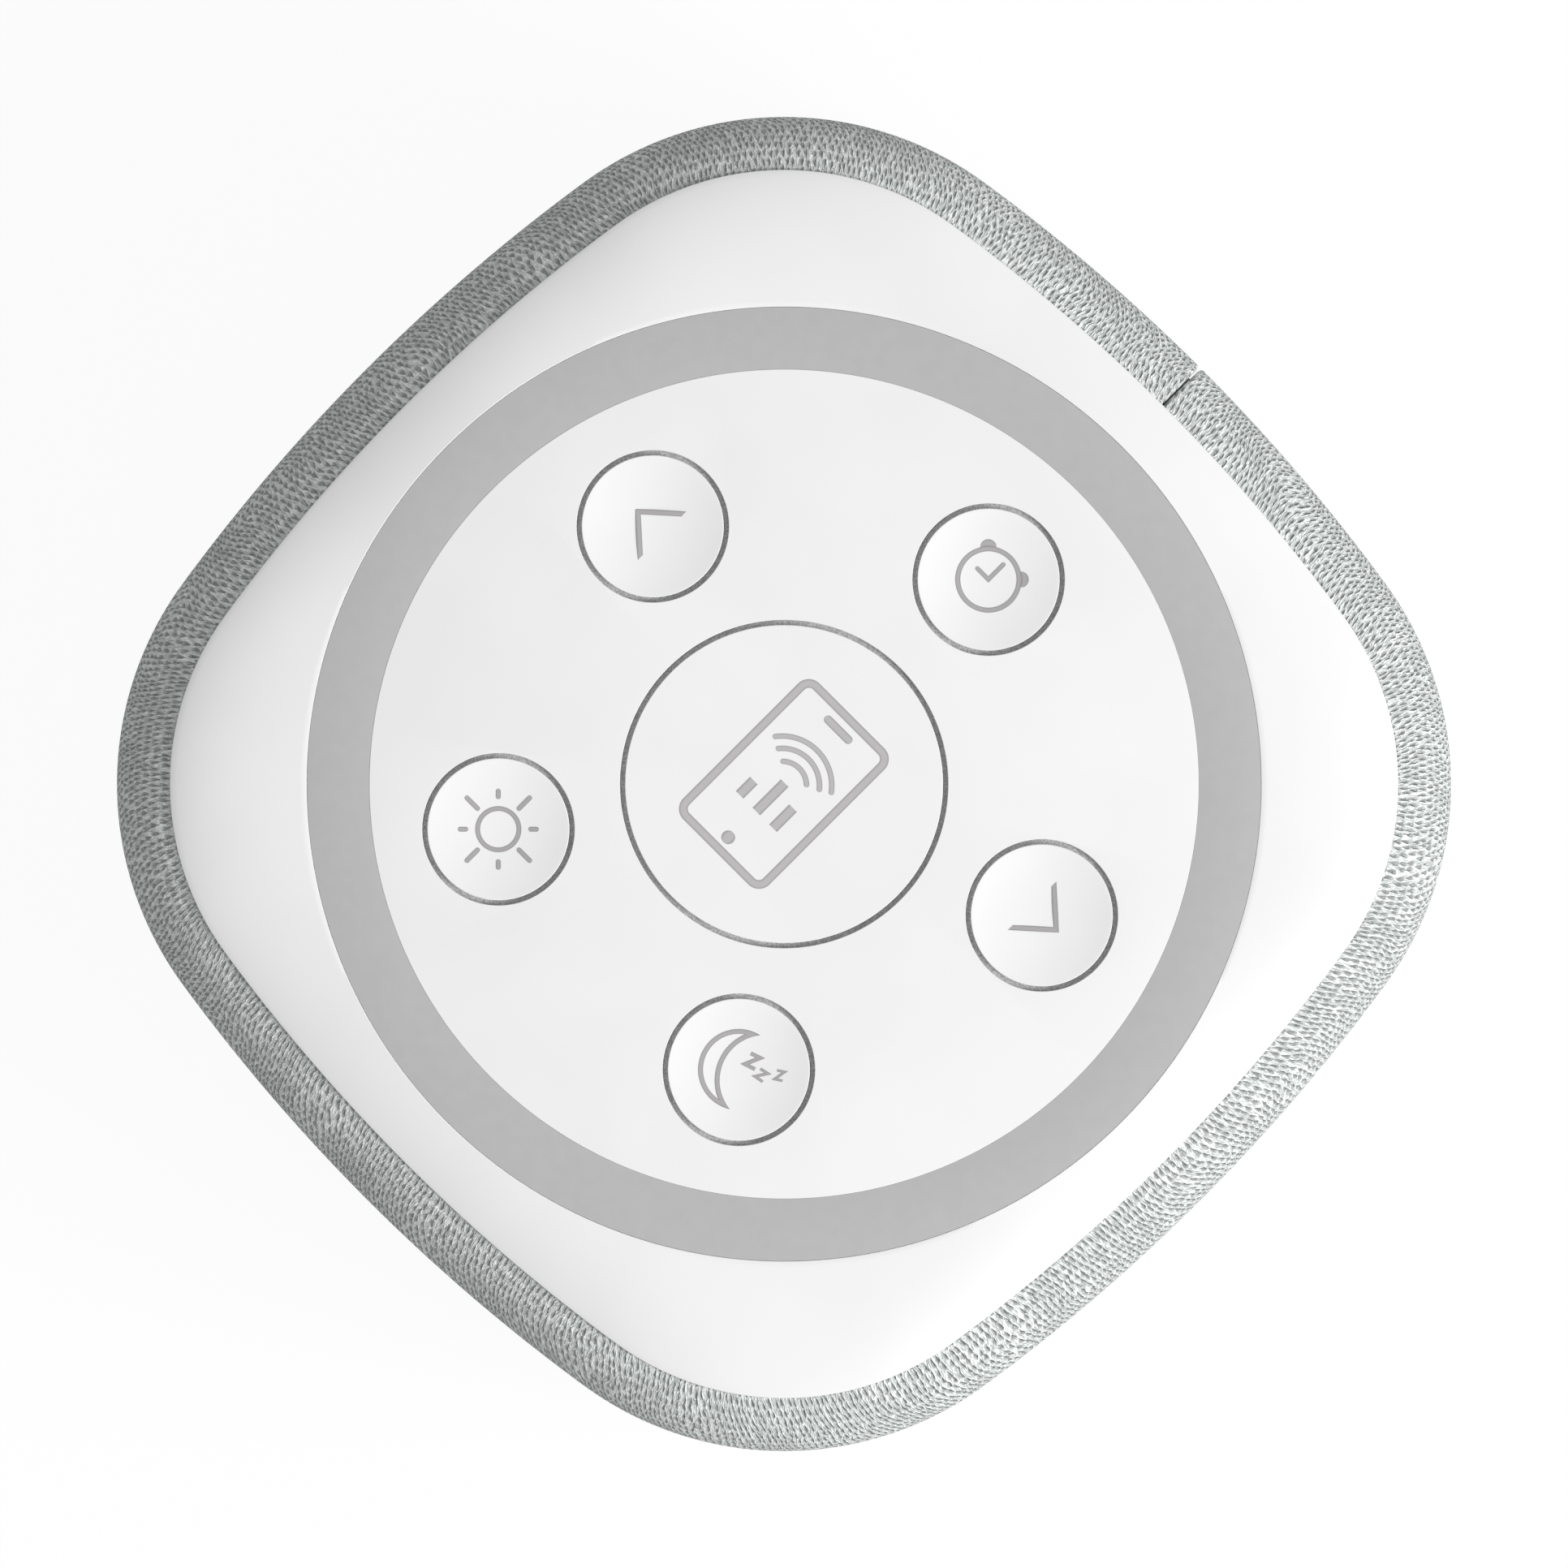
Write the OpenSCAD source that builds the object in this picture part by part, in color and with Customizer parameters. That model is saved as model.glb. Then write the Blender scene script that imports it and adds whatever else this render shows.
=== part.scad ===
/* [Body] */
// Width across the flats, over the fabric
body_w = 100; // [90:0.5:110]
// Height from the table to the top of the control panel
body_h = 64; // [60:0.5:80]
// Radius of each gently bowed side
side_bow_r = 158; // [140:1:200]
// Radius of each rounded corner
corner_r = 28.75; // [26:0.25:32]

/* [Fabric and frame] */
// Thickness of the knitted fabric
fabric_t = 1.2; // [0.8:0.1:1.4]
// Gap between the fabric and the frame behind it
fabric_gap = 0.1; // [0.05:0.05:0.3]
// Wall of the slotted frame under the fabric
frame_t = 1.8; // [1.4:0.1:2.2]
// Half width of the rounded shoulder at the top of the fabric
shoulder_w = 7; // [6:0.25:8]
// Height of the rounded shoulder at the top of the fabric
shoulder_h = 9; // [7:0.5:11]
// How far the fabric runs in under the edge of the top shell
fabric_tuck = 0.9; // [0.5:0.1:1.1]
// Width of each sound slot in the frame
slot_w = 2.2; // [1.2:0.1:2.8]
// Height of each sound slot in the frame
slot_h = 26; // [16:1:27]
// Angle between neighbouring sound slots
slot_pitch = 7.5; // [7.5, 9, 10]
// Thickness of the screw ledges in the frame's upper corners
ledge_t = 2; // [1.5:0.1:3]
// Length of the screw bosses in the frame's lower corners
frame_boss_h = 12; // [9:0.5:14]

/* [Base shell] */
// Height of the base shell's rim above the table
base_h = 13; // [12.5:0.25:15]
// How far the base shell stands in from the fabric
base_inset = 0.8; // [0.4:0.1:1.2]
// Radius of the base shell's lower edge
base_edge_r = 6; // [4:0.5:6]
// Wall of the base shell
base_wall = 2.2; // [1.6:0.1:2.4]
// Floor of the base shell
base_floor = 2.2; // [2:0.1:2.6]
// Height of the lip that enters the frame
base_lip_h = 2; // [1:0.25:3]
// Thickness of the lip that enters the frame
base_lip_t = 1.2; // [0.8:0.1:1.6]

/* [Feet and case screws] */
// Diameter of each rubber foot
foot_d = 11; // [9:0.5:12]
// Thickness of each rubber foot
foot_t = 2; // [1.6:0.1:2.6]
// How far each rubber foot stands out of the base
foot_out = 1.2; // [0.8:0.1:1.4]
// Diameter of the case screw posts
post_d = 7.2; // [6.4:0.2:8]
// Thread diameter of the case screws
case_screw_d = 2.8; // [2.4:0.1:3.2]
// Head diameter of the case screws
case_head_d = 5.4; // [4.6:0.2:5.8]
// Head height of the case screws
case_head_h = 2; // [1.4:0.1:2.4]
// Grip of the case screws in the frame
case_screw_grip = 7; // [5:0.5:8]

/* [Top shell] */
// Drop from the light ring to the edge of the top shell
dome_drop = 1.5; // [1:0.1:2]
// How far the top shell's edge stands in from the fabric
shell_inset = 4.6; // [4:0.1:5]
// Visible thickness of the top shell's edge
shell_lip = 0.6; // [0.4:0.1:1]
// Wall of the top shell
shell_t = 2; // [1.6:0.1:2.4]
// Wall of the rim that enters the frame
rim_t = 1.6; // [1.2:0.1:2]
// Depth of the rim's lower end under the control panel
rim_depth = 12; // [11:0.25:13]
// Diameter of the shell screw bosses
shell_boss_d = 5.4; // [5:0.1:6]
// Thread diameter of the shell screws
shell_screw_d = 2.2; // [1.8:0.1:2.6]
// Length of the shell screws' threads
shell_screw_l = 7; // [5:0.5:8]

/* [Light ring] */
// Distance from the fabric's outer face to the light ring, over the flats
ring_margin = 9.55; // [9.3:0.05:10]
// Width of the light ring's band
ring_band = 5.3; // [5:0.1:5.6]
// Thickness of the light ring
ring_t = 2.05; // [1.6:0.05:2.2]
// How far the light ring lies under the control panel
ring_sink = 0.25; // [0.1:0.05:0.5]
// Wall of the reflector channel under the ring
reflector_wall = 1.1; // [0.8:0.1:1.2]
// Number of light-emitting diodes under the ring
led_count = 20; // [12:1:24]

/* [Control panel] */
// Thickness of the control panel
panel_t = 2; // [1.6:0.1:2.4]
// Thickness of the panel's lip around each button
panel_lip = 0.8; // [0.6:0.1:1]
// Bevel of the panel's edge
panel_bevel = 0.25; // [0.1:0.05:0.4]
// Distance from the panel's edge to the centres of the small buttons
button_inset = 10.5; // [10:0.1:11.5]
// Distance from the panel's edge to the centres of its screw posts
panel_post_inset = 6.7; // [6.2:0.1:7]
// Diameter of the screw posts under the panel
panel_post_d = 4.6; // [4:0.2:5]
// Thread diameter of the small screws
small_screw_d = 1.9; // [1.6:0.1:2]
// Thread length of the small screws
small_screw_l = 5; // [4:0.5:6]
// Head diameter of the small screws
small_head_d = 3.6; // [3.2:0.1:3.8]
// Head height of the small screws
small_head_h = 1.4; // [1:0.1:1.6]

/* [Buttons] */
// Diameter of each small button's hole
small_hole_d = 12.9; // [12:0.1:14]
// Land between the centre hole and the small buttons' holes
button_land = 4.15; // [3.55:0.05:5.05]
// Gap around each button
button_gap = 0.43; // [0.3:0.01:0.5]
// Travel of each button
button_travel = 0.5; // [0.3:0.05:0.6]
// Depth of the dish in each small button
dish_depth = 0.5; // [0.2:0.05:0.6]
// Bevel of each button's upper edge
button_bevel = 0.2; // [0.1:0.05:0.3]
// Thickness of each button's retaining flange
flange_t = 0.8; // [0.6:0.05:1]
// Width of each button's retaining flange
flange_w = 0.9; // [0.7:0.05:1]
// Gap over each retaining flange
flange_gap = 0.1; // [0.05:0.05:0.2]
// Diameter of the stem under each button
stem_d = 3.4; // [3:0.1:4]

/* [Key board] */
// Depth of the key board's upper face under the panel's top
key_depth = 8; // [7.6:0.1:8.5]
// Thickness of both circuit boards
board_t = 1.6; // [1.2:0.1:2]
// Side of each push switch
switch_w = 6; // [5:0.5:7]
// Height of each push switch
switch_h = 3.5; // [3:0.1:3.8]
// Diameter of each switch plunger
plunger_d = 3.5; // [3:0.1:4]
// How far each plunger stands out of its switch
plunger_out = 0.8; // [0.7:0.05:1]
// Diameter of the board's fixing ears
ear_d = 4.8; // [4.4:0.1:5]

/* [Speaker] */
// Outer diameter of the speaker's flange
speaker_d = 54; // [53:0.5:56]
// Thickness of the speaker's pressed steel
basket_t = 0.8; // [0.6:0.1:1]
// Diameter of the paper cone
cone_d = 36.4; // [35:0.2:37]
// Height from the magnet's top plate to the flange's top
basket_h = 10; // [9:0.5:12]
// Diameter of the voice coil's former, outside
former_d = 13.8; // [13:0.1:14.2]
// Travel of the cone either way
cone_travel = 1; // [0.5:0.1:1.2]
// Diameter of the ferrite magnet
magnet_d = 32; // [30:0.5:34]
// Thickness of the ferrite magnet
magnet_t = 5.5; // [4:0.5:7]
// Thickness of the magnet's steel plates
plate_t = 2; // [1.5:0.25:2.5]

/* [Speaker box] */
// Outer diameter of the speaker box
box_d = 62; // [61:0.5:64]
// Height of the speaker box
box_h = 28; // [27:0.5:29]
// Wall of the speaker box
box_wall = 2; // [1.6:0.1:2.4]
// Height of the speaker box's underside above the table
box_z = 14; // [13.5:0.25:15]
// Thickness of the speaker box's fixing ears
box_ear_t = 2; // [1.5:0.25:3]
// Thickness of the foam gasket under the speaker
gasket_t = 0.5; // [0.3:0.1:1]

/* [Main board] */
// Gap between the main board and the case screw posts
board_post_gap = 1.25; // [0.8:0.05:2.5]
// Length of the main board, front to back
main_board_l = 39; // [37:0.5:40]
// Height of the main board's underside above the base floor
standoff_h = 1.8; // [1.4:0.1:2.4]
// Width of the charging socket
usb_w = 8.94; // [8.9:0.02:9]
// Height of the charging socket
usb_h = 3.26; // [3.2:0.02:3.3]
// Length of the charging socket
usb_l = 7.35; // [7:0.05:8]

/* [Battery] */
// Gap between the battery and the case screw posts
battery_post_gap = 2.25; // [1:0.25:6]
// Distance from the battery to the front edge of the base's level floor
battery_margin = 4.7; // [3.5:0.1:10]
// Thickness of the battery
battery_t = 7.5; // [5:0.5:8]
// Thickness of the foam pad under the battery
battery_pad_t = 0.8; // [0.4:0.1:1]

/* [Hidden] */

$fn = 96;
eps = 0.01;

// Clearances
fit = 0.1;
running_fit = 0.05;
screw_fit = 0.3;
ring_fit = 0.15;

// Outline: four bowed sides joined by four corner arcs, tangent to each other
side_steps = 8;
corner_steps = 12;
half_w = body_w / 2;
bow_offset = side_bow_r - half_w;
arc_gap = side_bow_r - corner_r;
corner_c = (sqrt(2 * arc_gap * arc_gap - bow_offset * bow_offset) - bow_offset) / 2;
tangent_a = atan2(corner_c, corner_c + bow_offset);

function lerp(a, b, t) = a + (b - a) * t;
function turned(p, a, z) = [p[0] * cos(a) - p[1] * sin(a), p[0] * sin(a) + p[1] * cos(a), z];
function side_point(inset, a) =
    [(side_bow_r - inset) * cos(a) - bow_offset, (side_bow_r - inset) * sin(a)];
function corner_point(inset, a) =
    [corner_c + (corner_r - inset) * cos(a), corner_c + (corner_r - inset) * sin(a)];
function loop(inset, z) = [
    for (q = [0:3]) each concat(
        [for (i = [0:side_steps - 1])
            turned(side_point(inset, lerp(-tangent_a, tangent_a, i / side_steps)), 90 * q, z)],
        [for (i = [0:corner_steps - 1])
            turned(corner_point(inset, lerp(tangent_a, 90 - tangent_a, i / corner_steps)), 90 * q, z)]
    )
];
function flat_loop(inset) = [for (p = loop(inset, 0)) [p[0], p[1]]];
function circle_loop(r, z) =
    [for (p = loop(0, 0)) [r * p[0] / norm(p), r * p[1] / norm(p), z]];
function blend_loop(a, b, t) = [for (i = [0:len(a) - 1]) lerp(a[i], b[i], t)];
function corner_reach(inset, a = 45) =
    let (across = corner_c * (cos(a) + sin(a)))
        across + sqrt(across * across - 2 * corner_c * corner_c + pow(corner_r - inset, 2));
function round_rect(w, l, r, n) = [
    for (q = [0:3]) for (i = [0:n])
        [(q == 0 || q == 3 ? 1 : -1) * (w / 2 - r) + r * cos(90 * (q + i / n)),
            (q < 2 ? 1 : -1) * (l / 2 - r) + r * sin(90 * (q + i / n))]
];

// Heights down from the panel's top
panel_z = body_h - panel_t;
lip_z = body_h - panel_lip;
flange_top_z = lip_z - flange_gap;
flange_z = flange_top_z - flange_t;
ring_top_z = body_h - ring_sink;
ring_z = ring_top_z - ring_t;
key_top_z = body_h - key_depth;
key_z = key_top_z - board_t;
switch_top_z = key_top_z + switch_h;
plunger_top_z = switch_top_z + plunger_out;
plunger_z = switch_top_z - plunger_out - fit;
shell_edge_z = body_h - dome_drop;
fabric_edge_z = shell_edge_z - shell_lip - fit;
rim_z = body_h - rim_depth;
ledge_z = rim_z - ledge_t;

// Shoulder: a quarter ellipse, cut where the top shell's edge begins
shoulder_end = acos((shoulder_w - shell_inset) / shoulder_w);
shoulder_z = fabric_edge_z - shoulder_h * sin(shoulder_end);
shoulder_steps = 6;
function shoulder(a, depth) =
    loop(shoulder_w - (shoulder_w - depth) * cos(a), shoulder_z + (shoulder_h - depth) * sin(a));

// Heights up from the table
floor_z = foot_out + base_floor;
main_board_z = floor_z + standoff_h;
main_top_z = main_board_z + board_t;
ear_z = box_z + box_wall;
frame_boss_z = ear_z + box_ear_t;

// Frame, rim and bosses
frame_inset = fabric_t + fabric_gap;
frame_inner = frame_inset + frame_t;
rim_inset = shoulder_w;
base_inner = base_inset + base_wall;
base_lip_inset = frame_inner + fit;
base_chamfer = 0.6;
shell_boss_r = corner_reach(rim_inset + rim_t) - shell_boss_d / 4;
foot_margin = 0.7;
post_r = corner_reach(base_inset + base_edge_r) - foot_d / 2 - foot_margin;
slot_mid_z = (base_h + ledge_z) / 2 + 2;
fabric_hem = 1.5;
web_t = 2;
web_step = 0.5;

// Light ring and panel
ring_r = half_w - ring_margin;
ring_inner_r = ring_r - ring_band;
shell_hole_r = ring_r + ring_fit;
collar_t = 1.3;
collar_h = 4;
panel_r = ring_inner_r - ring_fit;
reflector_outer_r = ring_r - ring_fit * 2;
channel_outer_r = reflector_outer_r - reflector_wall;
channel_inner_r = ring_inner_r + 0.5;
reflector_inner_r = panel_r - 1.8;
reflector_floor = 0.8;
led_r = (channel_outer_r + channel_inner_r) / 2;
led_w = 2.4;
led_l = 2;
led_h = 1;
key_board_r = reflector_outer_r;
ear_a = 28;
ear_r = corner_reach(rim_inset + rim_t, ear_a) - ear_d / 2 - screw_fit;
panel_post_r = panel_r - panel_post_inset;
post_a = 54;

// Buttons
small_count = 5;
button_circle_r = panel_r - button_inset;
centre_hole_d = 2 * (button_circle_r - button_land) - small_hole_d;
rib_t = 1;
rib_gap = 0.8;
next_a = 18;
timer_a = 90;
previous_a = 162;
light_a = 234;
sleep_a = 306;

// Speaker
box_top_z = box_z + box_h;
speaker_z = box_top_z + gasket_t + basket_t;
plate_top_z = speaker_z - basket_h;
magnet_top_z = plate_top_z - plate_t;
magnet_z = magnet_top_z - magnet_t;
yoke_z = magnet_z - plate_t;
former_r = former_d / 2;
former_t = 0.2;
coil_t = 0.35;
coil_gap = 0.5;
cone_r = cone_d / 2;
cone_t = 0.4;
speaker_r = speaker_d / 2;
basket_r = speaker_r - 4.4;
basket_foot_r = magnet_d / 2 + 1.4;
spider_z = plate_top_z + basket_h * 0.3;
cone_z = spider_z + cone_travel + 0.2;
speaker_screw_r = speaker_r - 1.8;
box_r = box_d / 2;

// Main board, sockets and battery
usb_mouth_y = half_w - base_inset - base_wall * 0.7;
main_back_y = usb_mouth_y - usb_l + 2;
main_front_y = main_back_y - main_board_l;
post_inner_x = post_r * cos(45) - post_d / 2;
main_board_w = 2 * (post_inner_x - board_post_gap);
hole_edge = 4;
standoff_x = main_board_w / 2 - hole_edge;
standoff_y = [main_front_y + hole_edge + 1, main_back_y - hole_edge - 2];
usb_z = main_top_z + usb_h / 2;
ribbon_w = 10;
ribbon_t = 0.3;
ribbon_x = standoff_x - 9;
ribbon_run_y = key_board_r - 2.5;
ribbon_y = ribbon_run_y - 4;
socket_h = 2;
key_socket_y = ribbon_run_y - 5.5;
battery_gap = 8;
battery_back_y = main_front_y - battery_gap;
battery_front_y = battery_margin + base_inner + base_edge_r * base_chamfer - half_w;
battery_l = battery_back_y - battery_front_y;
battery_w = 2 * (post_inner_x - battery_post_gap);
battery_z = floor_z + battery_pad_t;
battery_socket_x = -standoff_x + 6;
speaker_socket_x = -standoff_x + 6;
speaker_socket_y = main_back_y - hole_edge - 2;
lead_socket_w = 5;
lead_socket_h = 3.6;
radio_w = 12;
radio_l = 15;
radio_h = 2.4;
radio_x = -main_board_w / 2 + 11;
chip_row_y = main_front_y + 20;
sound_chip_w = 9;
sound_chip_h = 1.2;
amplifier_w = 5;
amplifier_h = 1;
power_coil_w = 6;
power_coil_h = 3;
can_d = 5;
can_h = 5.2;
can_pitch = 8;
lead_r = 0.6;
lead_pitch = 2;
grommet_z = ear_z + 4.5;
grommet_r = 2.6;
lead_a = 112;

module outline_wall(outer, inner, z, h) {
    translate([0, 0, z])
        linear_extrude(height = h)
            difference() {
                polygon(flat_loop(outer));
                polygon(flat_loop(inner));
            }
}

module closed_loft(rings) {
    n = len(rings[0]);
    m = len(rings);
    polyhedron(
        points = [for (r = rings) each r],
        faces = [for (j = [0:m - 1]) for (i = [0:n - 1])
            let (k = (i + 1) % n, a = j * n, b = ((j + 1) % m) * n)
                each [[a + i, b + i, b + k], [a + i, b + k, a + k]]]
    );
}

module capped_loft(rings) {
    n = len(rings[0]);
    m = len(rings);
    polyhedron(
        points = [for (r = rings) each r],
        faces = concat(
            [[for (i = [0:n - 1]) i]],
            [for (j = [0:m - 2]) for (i = [0:n - 1])
                let (k = (i + 1) % n, a = j * n, b = (j + 1) * n)
                    each [[a + i, b + i, b + k], [a + i, b + k, a + k]]],
            [[for (i = [n - 1:-1:0]) (m - 1) * n + i]]
        )
    );
}

function unit(v) = v / norm(v);
function along(path, i) =
    unit(path[min(i + 1, len(path) - 1)] - path[max(i - 1, 0)]);
function wire_ring(p, t, r) =
    let (u = unit(cross(t, [0.31, 0.87, 0.38])), v = cross(t, u))
        [for (i = [0:7]) p + r * (u * cos(45 * i) + v * sin(45 * i))];

module wire(path, r) {
    capped_loft([for (i = [0:len(path) - 1]) wire_ring(path[i], along(path, i), r)]);
}

module tube(r, inner_r, z, h) {
    rotate_extrude()
        translate([inner_r, z])
            square([r - inner_r, h]);
}

module at_corners(r, a = 45) {
    for (q = [0:3])
        rotate([0, 0, a + 90 * q])
            translate([r, 0, 0])
                children();
}

module at_panel_posts() {
    for (i = [0:small_count - 1])
        rotate([0, 0, post_a + 360 / small_count * i])
            translate([panel_post_r, 0, 0])
                children();
}

module at_standoffs() {
    for (side = [-1, 1])
        for (y = standoff_y)
            translate([side * standoff_x, y, 0])
                children();
}

module at_switches() {
    children();
    for (i = [0:small_count - 1])
        rotate([0, 0, next_a + 360 / small_count * i])
            translate([button_circle_r, 0, 0])
                rotate([0, 0, -next_a - 360 / small_count * i])
                    children();
}

// A pan-head screw whose head's seat is at the origin and whose thread points up
module screw(d, l, head_d, head_h) {
    difference() {
        union() {
            translate([0, 0, -head_h])
                cylinder(d = head_d, h = head_h);
            cylinder(d = d, h = l);
        }
        for (a = [0, 90])
            rotate([0, 0, a])
                translate([-d * 0.55, -d * 0.11, -head_h - eps])
                    cube([d * 1.1, d * 0.22, head_h * 0.5]);
    }
}

module block(w, l, h, z, r = 0.4) {
    translate([0, 0, z])
        linear_extrude(height = h)
            polygon(round_rect(w, l, r, 3));
}

// ---- Case ----

module base_shell() {
    steps = 5;
    color("whitesmoke")
        difference() {
            union() {
                capped_loft(concat(
                    [for (i = [0:steps])
                        loop(base_inset + base_edge_r * (1 - sin(90 * i / steps)),
                            foot_out + base_edge_r * (1 - cos(90 * i / steps)))],
                    [
                        loop(base_inset, base_h),
                        loop(base_lip_inset, base_h),
                        loop(base_lip_inset, base_h + base_lip_h),
                        loop(base_lip_inset + base_lip_t, base_h + base_lip_h),
                        loop(base_lip_inset + base_lip_t, base_h - 1),
                        loop(base_inner, base_h - 2),
                        loop(base_inner, floor_z + base_edge_r * base_chamfer),
                        loop(base_inner + base_edge_r * base_chamfer, floor_z)
                    ]
                ));
                at_corners(post_r)
                    translate([0, 0, floor_z - eps])
                        cylinder(d = post_d, h = ear_z - floor_z + eps);
                at_standoffs()
                    translate([0, 0, floor_z - eps])
                        cylinder(d = small_screw_d + 3, h = standoff_h + eps);
            }
            at_corners(post_r) {
                translate([0, 0, foot_out - eps])
                    cylinder(d = foot_d + 2 * fit, h = foot_t - foot_out + eps);
                translate([0, 0, foot_out])
                    cylinder(d = case_head_d + 2 * screw_fit, h = foot_t - foot_out + case_head_h + fit);
                cylinder(d = case_screw_d + 2 * screw_fit, h = ear_z + eps);
            }
            at_standoffs()
                translate([0, 0, floor_z - 1])
                    cylinder(d = small_screw_d + 2 * running_fit, h = standoff_h + 1 + eps);
            usb_opening();
        }
}

module usb_opening() {
    depth = base_wall * 0.5;
    translate([0, half_w + 1, usb_z])
        rotate([90, 0, 0]) {
            linear_extrude(height = base_inset + base_wall + 8)
                polygon(round_rect(usb_w + 2 * fit, usb_h + 2 * fit, usb_h / 2, 8));
            linear_extrude(height = 1 + base_inset + depth)
                polygon(round_rect(usb_w + 3.6, usb_h + 3.6, usb_h / 2 + 1.8, 8));
        }
}

module rubber_feet() {
    color("dimgray")
        at_corners(post_r)
            cylinder(d = foot_d, h = foot_t);
}

module case_screws() {
    seat_z = foot_t + case_head_h + fit;
    color("silver")
        at_corners(post_r)
            translate([0, 0, seat_z])
                screw(case_screw_d, frame_boss_z + case_screw_grip - seat_z, case_head_d, case_head_h);
}

module sleeve_frame() {
    color("gainsboro")
        difference() {
            union() {
                closed_loft(concat(
                    [loop(frame_inset, base_h)],
                    [for (i = [0:shoulder_steps])
                        shoulder(shoulder_end * i / shoulder_steps, frame_inset)],
                    [for (i = [shoulder_steps:-1:0])
                        shoulder(shoulder_end * i / shoulder_steps, frame_inner)],
                    [loop(frame_inner, base_h)]
                ));
                intersection() {
                    translate([0, 0, ledge_z])
                        linear_extrude(height = ledge_t)
                            polygon(flat_loop(frame_inset + frame_t / 2));
                    at_corners(shell_boss_r + 4)
                        cylinder(r = 8, h = body_h);
                }
                intersection() {
                    translate([0, 0, frame_boss_z + web_step])
                        linear_extrude(height = frame_boss_h - 2 * web_step)
                            polygon(flat_loop(frame_inset + frame_t / 2));
                    at_corners(post_r)
                        translate([0, -web_t / 2, 0])
                            cube([body_w, web_t, body_h]);
                }
                at_corners(post_r)
                    translate([0, 0, frame_boss_z])
                        cylinder(d = post_d, h = frame_boss_h);
            }
            at_corners(shell_boss_r)
                translate([0, 0, ledge_z - 1])
                    cylinder(d = shell_screw_d + 2 * screw_fit, h = ledge_t + 2);
            at_corners(post_r)
                translate([0, 0, frame_boss_z - eps])
                    cylinder(d = case_screw_d + 2 * running_fit, h = case_screw_grip + 1);
            sound_slots();
        }
}

module sound_slots() {
    count = 360 / slot_pitch;
    clear_a = 12;
    for (i = [0:count - 1])
        let (a = slot_pitch * (i + 0.5), off = abs((a % 90) - 45))
            if (off > clear_a)
                rotate([0, 0, a])
                    translate([box_r, -slot_w / 2, slot_mid_z - slot_h / 2])
                        cube([body_w, slot_w, slot_h]);
}

module fabric_sleeve() {
    color("lightgray")
        closed_loft(concat(
            [
                loop(fabric_t * 0.45, base_h + fit),
                loop(fabric_t * 0.12, base_h + fit + fabric_hem * 0.4),
                loop(0, base_h + fit + fabric_hem)
            ],
            [for (i = [0:shoulder_steps]) shoulder(shoulder_end * i / shoulder_steps, 0)],
            [
                loop(shell_inset + fabric_tuck, fabric_edge_z),
                loop(shell_inset + fabric_tuck, fabric_edge_z - fabric_t)
            ],
            [for (i = [shoulder_steps:-1:0]) shoulder(shoulder_end * i / shoulder_steps, fabric_t)],
            [loop(fabric_t, base_h + fit)]
        ));
}

dome_flat = 0.3;
function dome_z(t) = body_h - dome_drop * pow(t, 1.8);
function dome_loop(t, drop) =
    let (inner = circle_loop(shell_hole_r + dome_flat, 0), outer = loop(shell_inset, 0))
        [for (p = blend_loop(inner, outer, t)) [p[0], p[1], dome_z(t) - drop]];

module top_shell() {
    steps = 6;
    boss_top = shell_edge_z - shell_lip / 2;
    color("white")
        difference() {
            union() {
                closed_loft(concat(
                    [loop(rim_inset - 0.8, shell_edge_z - shell_lip)],
                    [loop(shell_inset, shell_edge_z - shell_lip)],
                    [for (i = [steps:-1:0]) dome_loop(i / steps, 0)],
                    [
                        circle_loop(shell_hole_r - 0.6, body_h),
                        circle_loop(shell_hole_r - 0.6, body_h - shell_t),
                        dome_loop(0, shell_t),
                        dome_loop(0.5, shell_t)
                    ]
                ));
                tube(shell_hole_r + collar_t, shell_hole_r - 0.4, body_h - shell_t - collar_h, collar_h + 1);
                outline_wall(rim_inset, rim_inset + rim_t, rim_z, rim_depth - shell_t + 0.2);
                at_corners(shell_boss_r)
                    translate([0, 0, rim_z])
                        cylinder(d = shell_boss_d, h = boss_top - rim_z);
                at_corners(ear_r, ear_a)
                    translate([0, 0, key_top_z])
                        cylinder(d = ear_d - 0.4, h = boss_top - key_top_z);
            }
            translate([0, 0, rim_z - 1])
                cylinder(r = shell_hole_r, h = body_h);
            at_corners(shell_boss_r)
                translate([0, 0, rim_z - eps])
                    cylinder(d = shell_screw_d + 2 * running_fit, h = shell_screw_l - ledge_t + 0.5);
            at_corners(ear_r, ear_a)
                translate([0, 0, key_top_z - eps])
                    cylinder(d = small_screw_d + 2 * running_fit, h = small_screw_l - board_t + 0.5);
        }
}

module shell_screws() {
    color("silver")
        at_corners(shell_boss_r)
            translate([0, 0, ledge_z])
                screw(shell_screw_d, shell_screw_l, shell_screw_d * 1.9, shell_screw_d * 0.7);
}

// ---- Light ring, panel and key board ----

module light_ring() {
    bevel = 0.2;
    rib = 0.6;
    color("silver")
        rotate_extrude()
            polygon([
                [ring_inner_r, ring_z], [channel_inner_r + fit, ring_z],
                [channel_inner_r + fit, ring_z - rib], [channel_outer_r - fit, ring_z - rib],
                [channel_outer_r - fit, ring_z], [ring_r, ring_z],
                [ring_r, ring_top_z - bevel], [ring_r - bevel, ring_top_z],
                [ring_inner_r + bevel, ring_top_z], [ring_inner_r, ring_top_z - bevel]
            ]);
}

module at_leds() {
    for (i = [0:led_count - 1])
        rotate([0, 0, 360 / led_count * i])
            translate([led_r, 0, 0])
                children();
}

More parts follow.
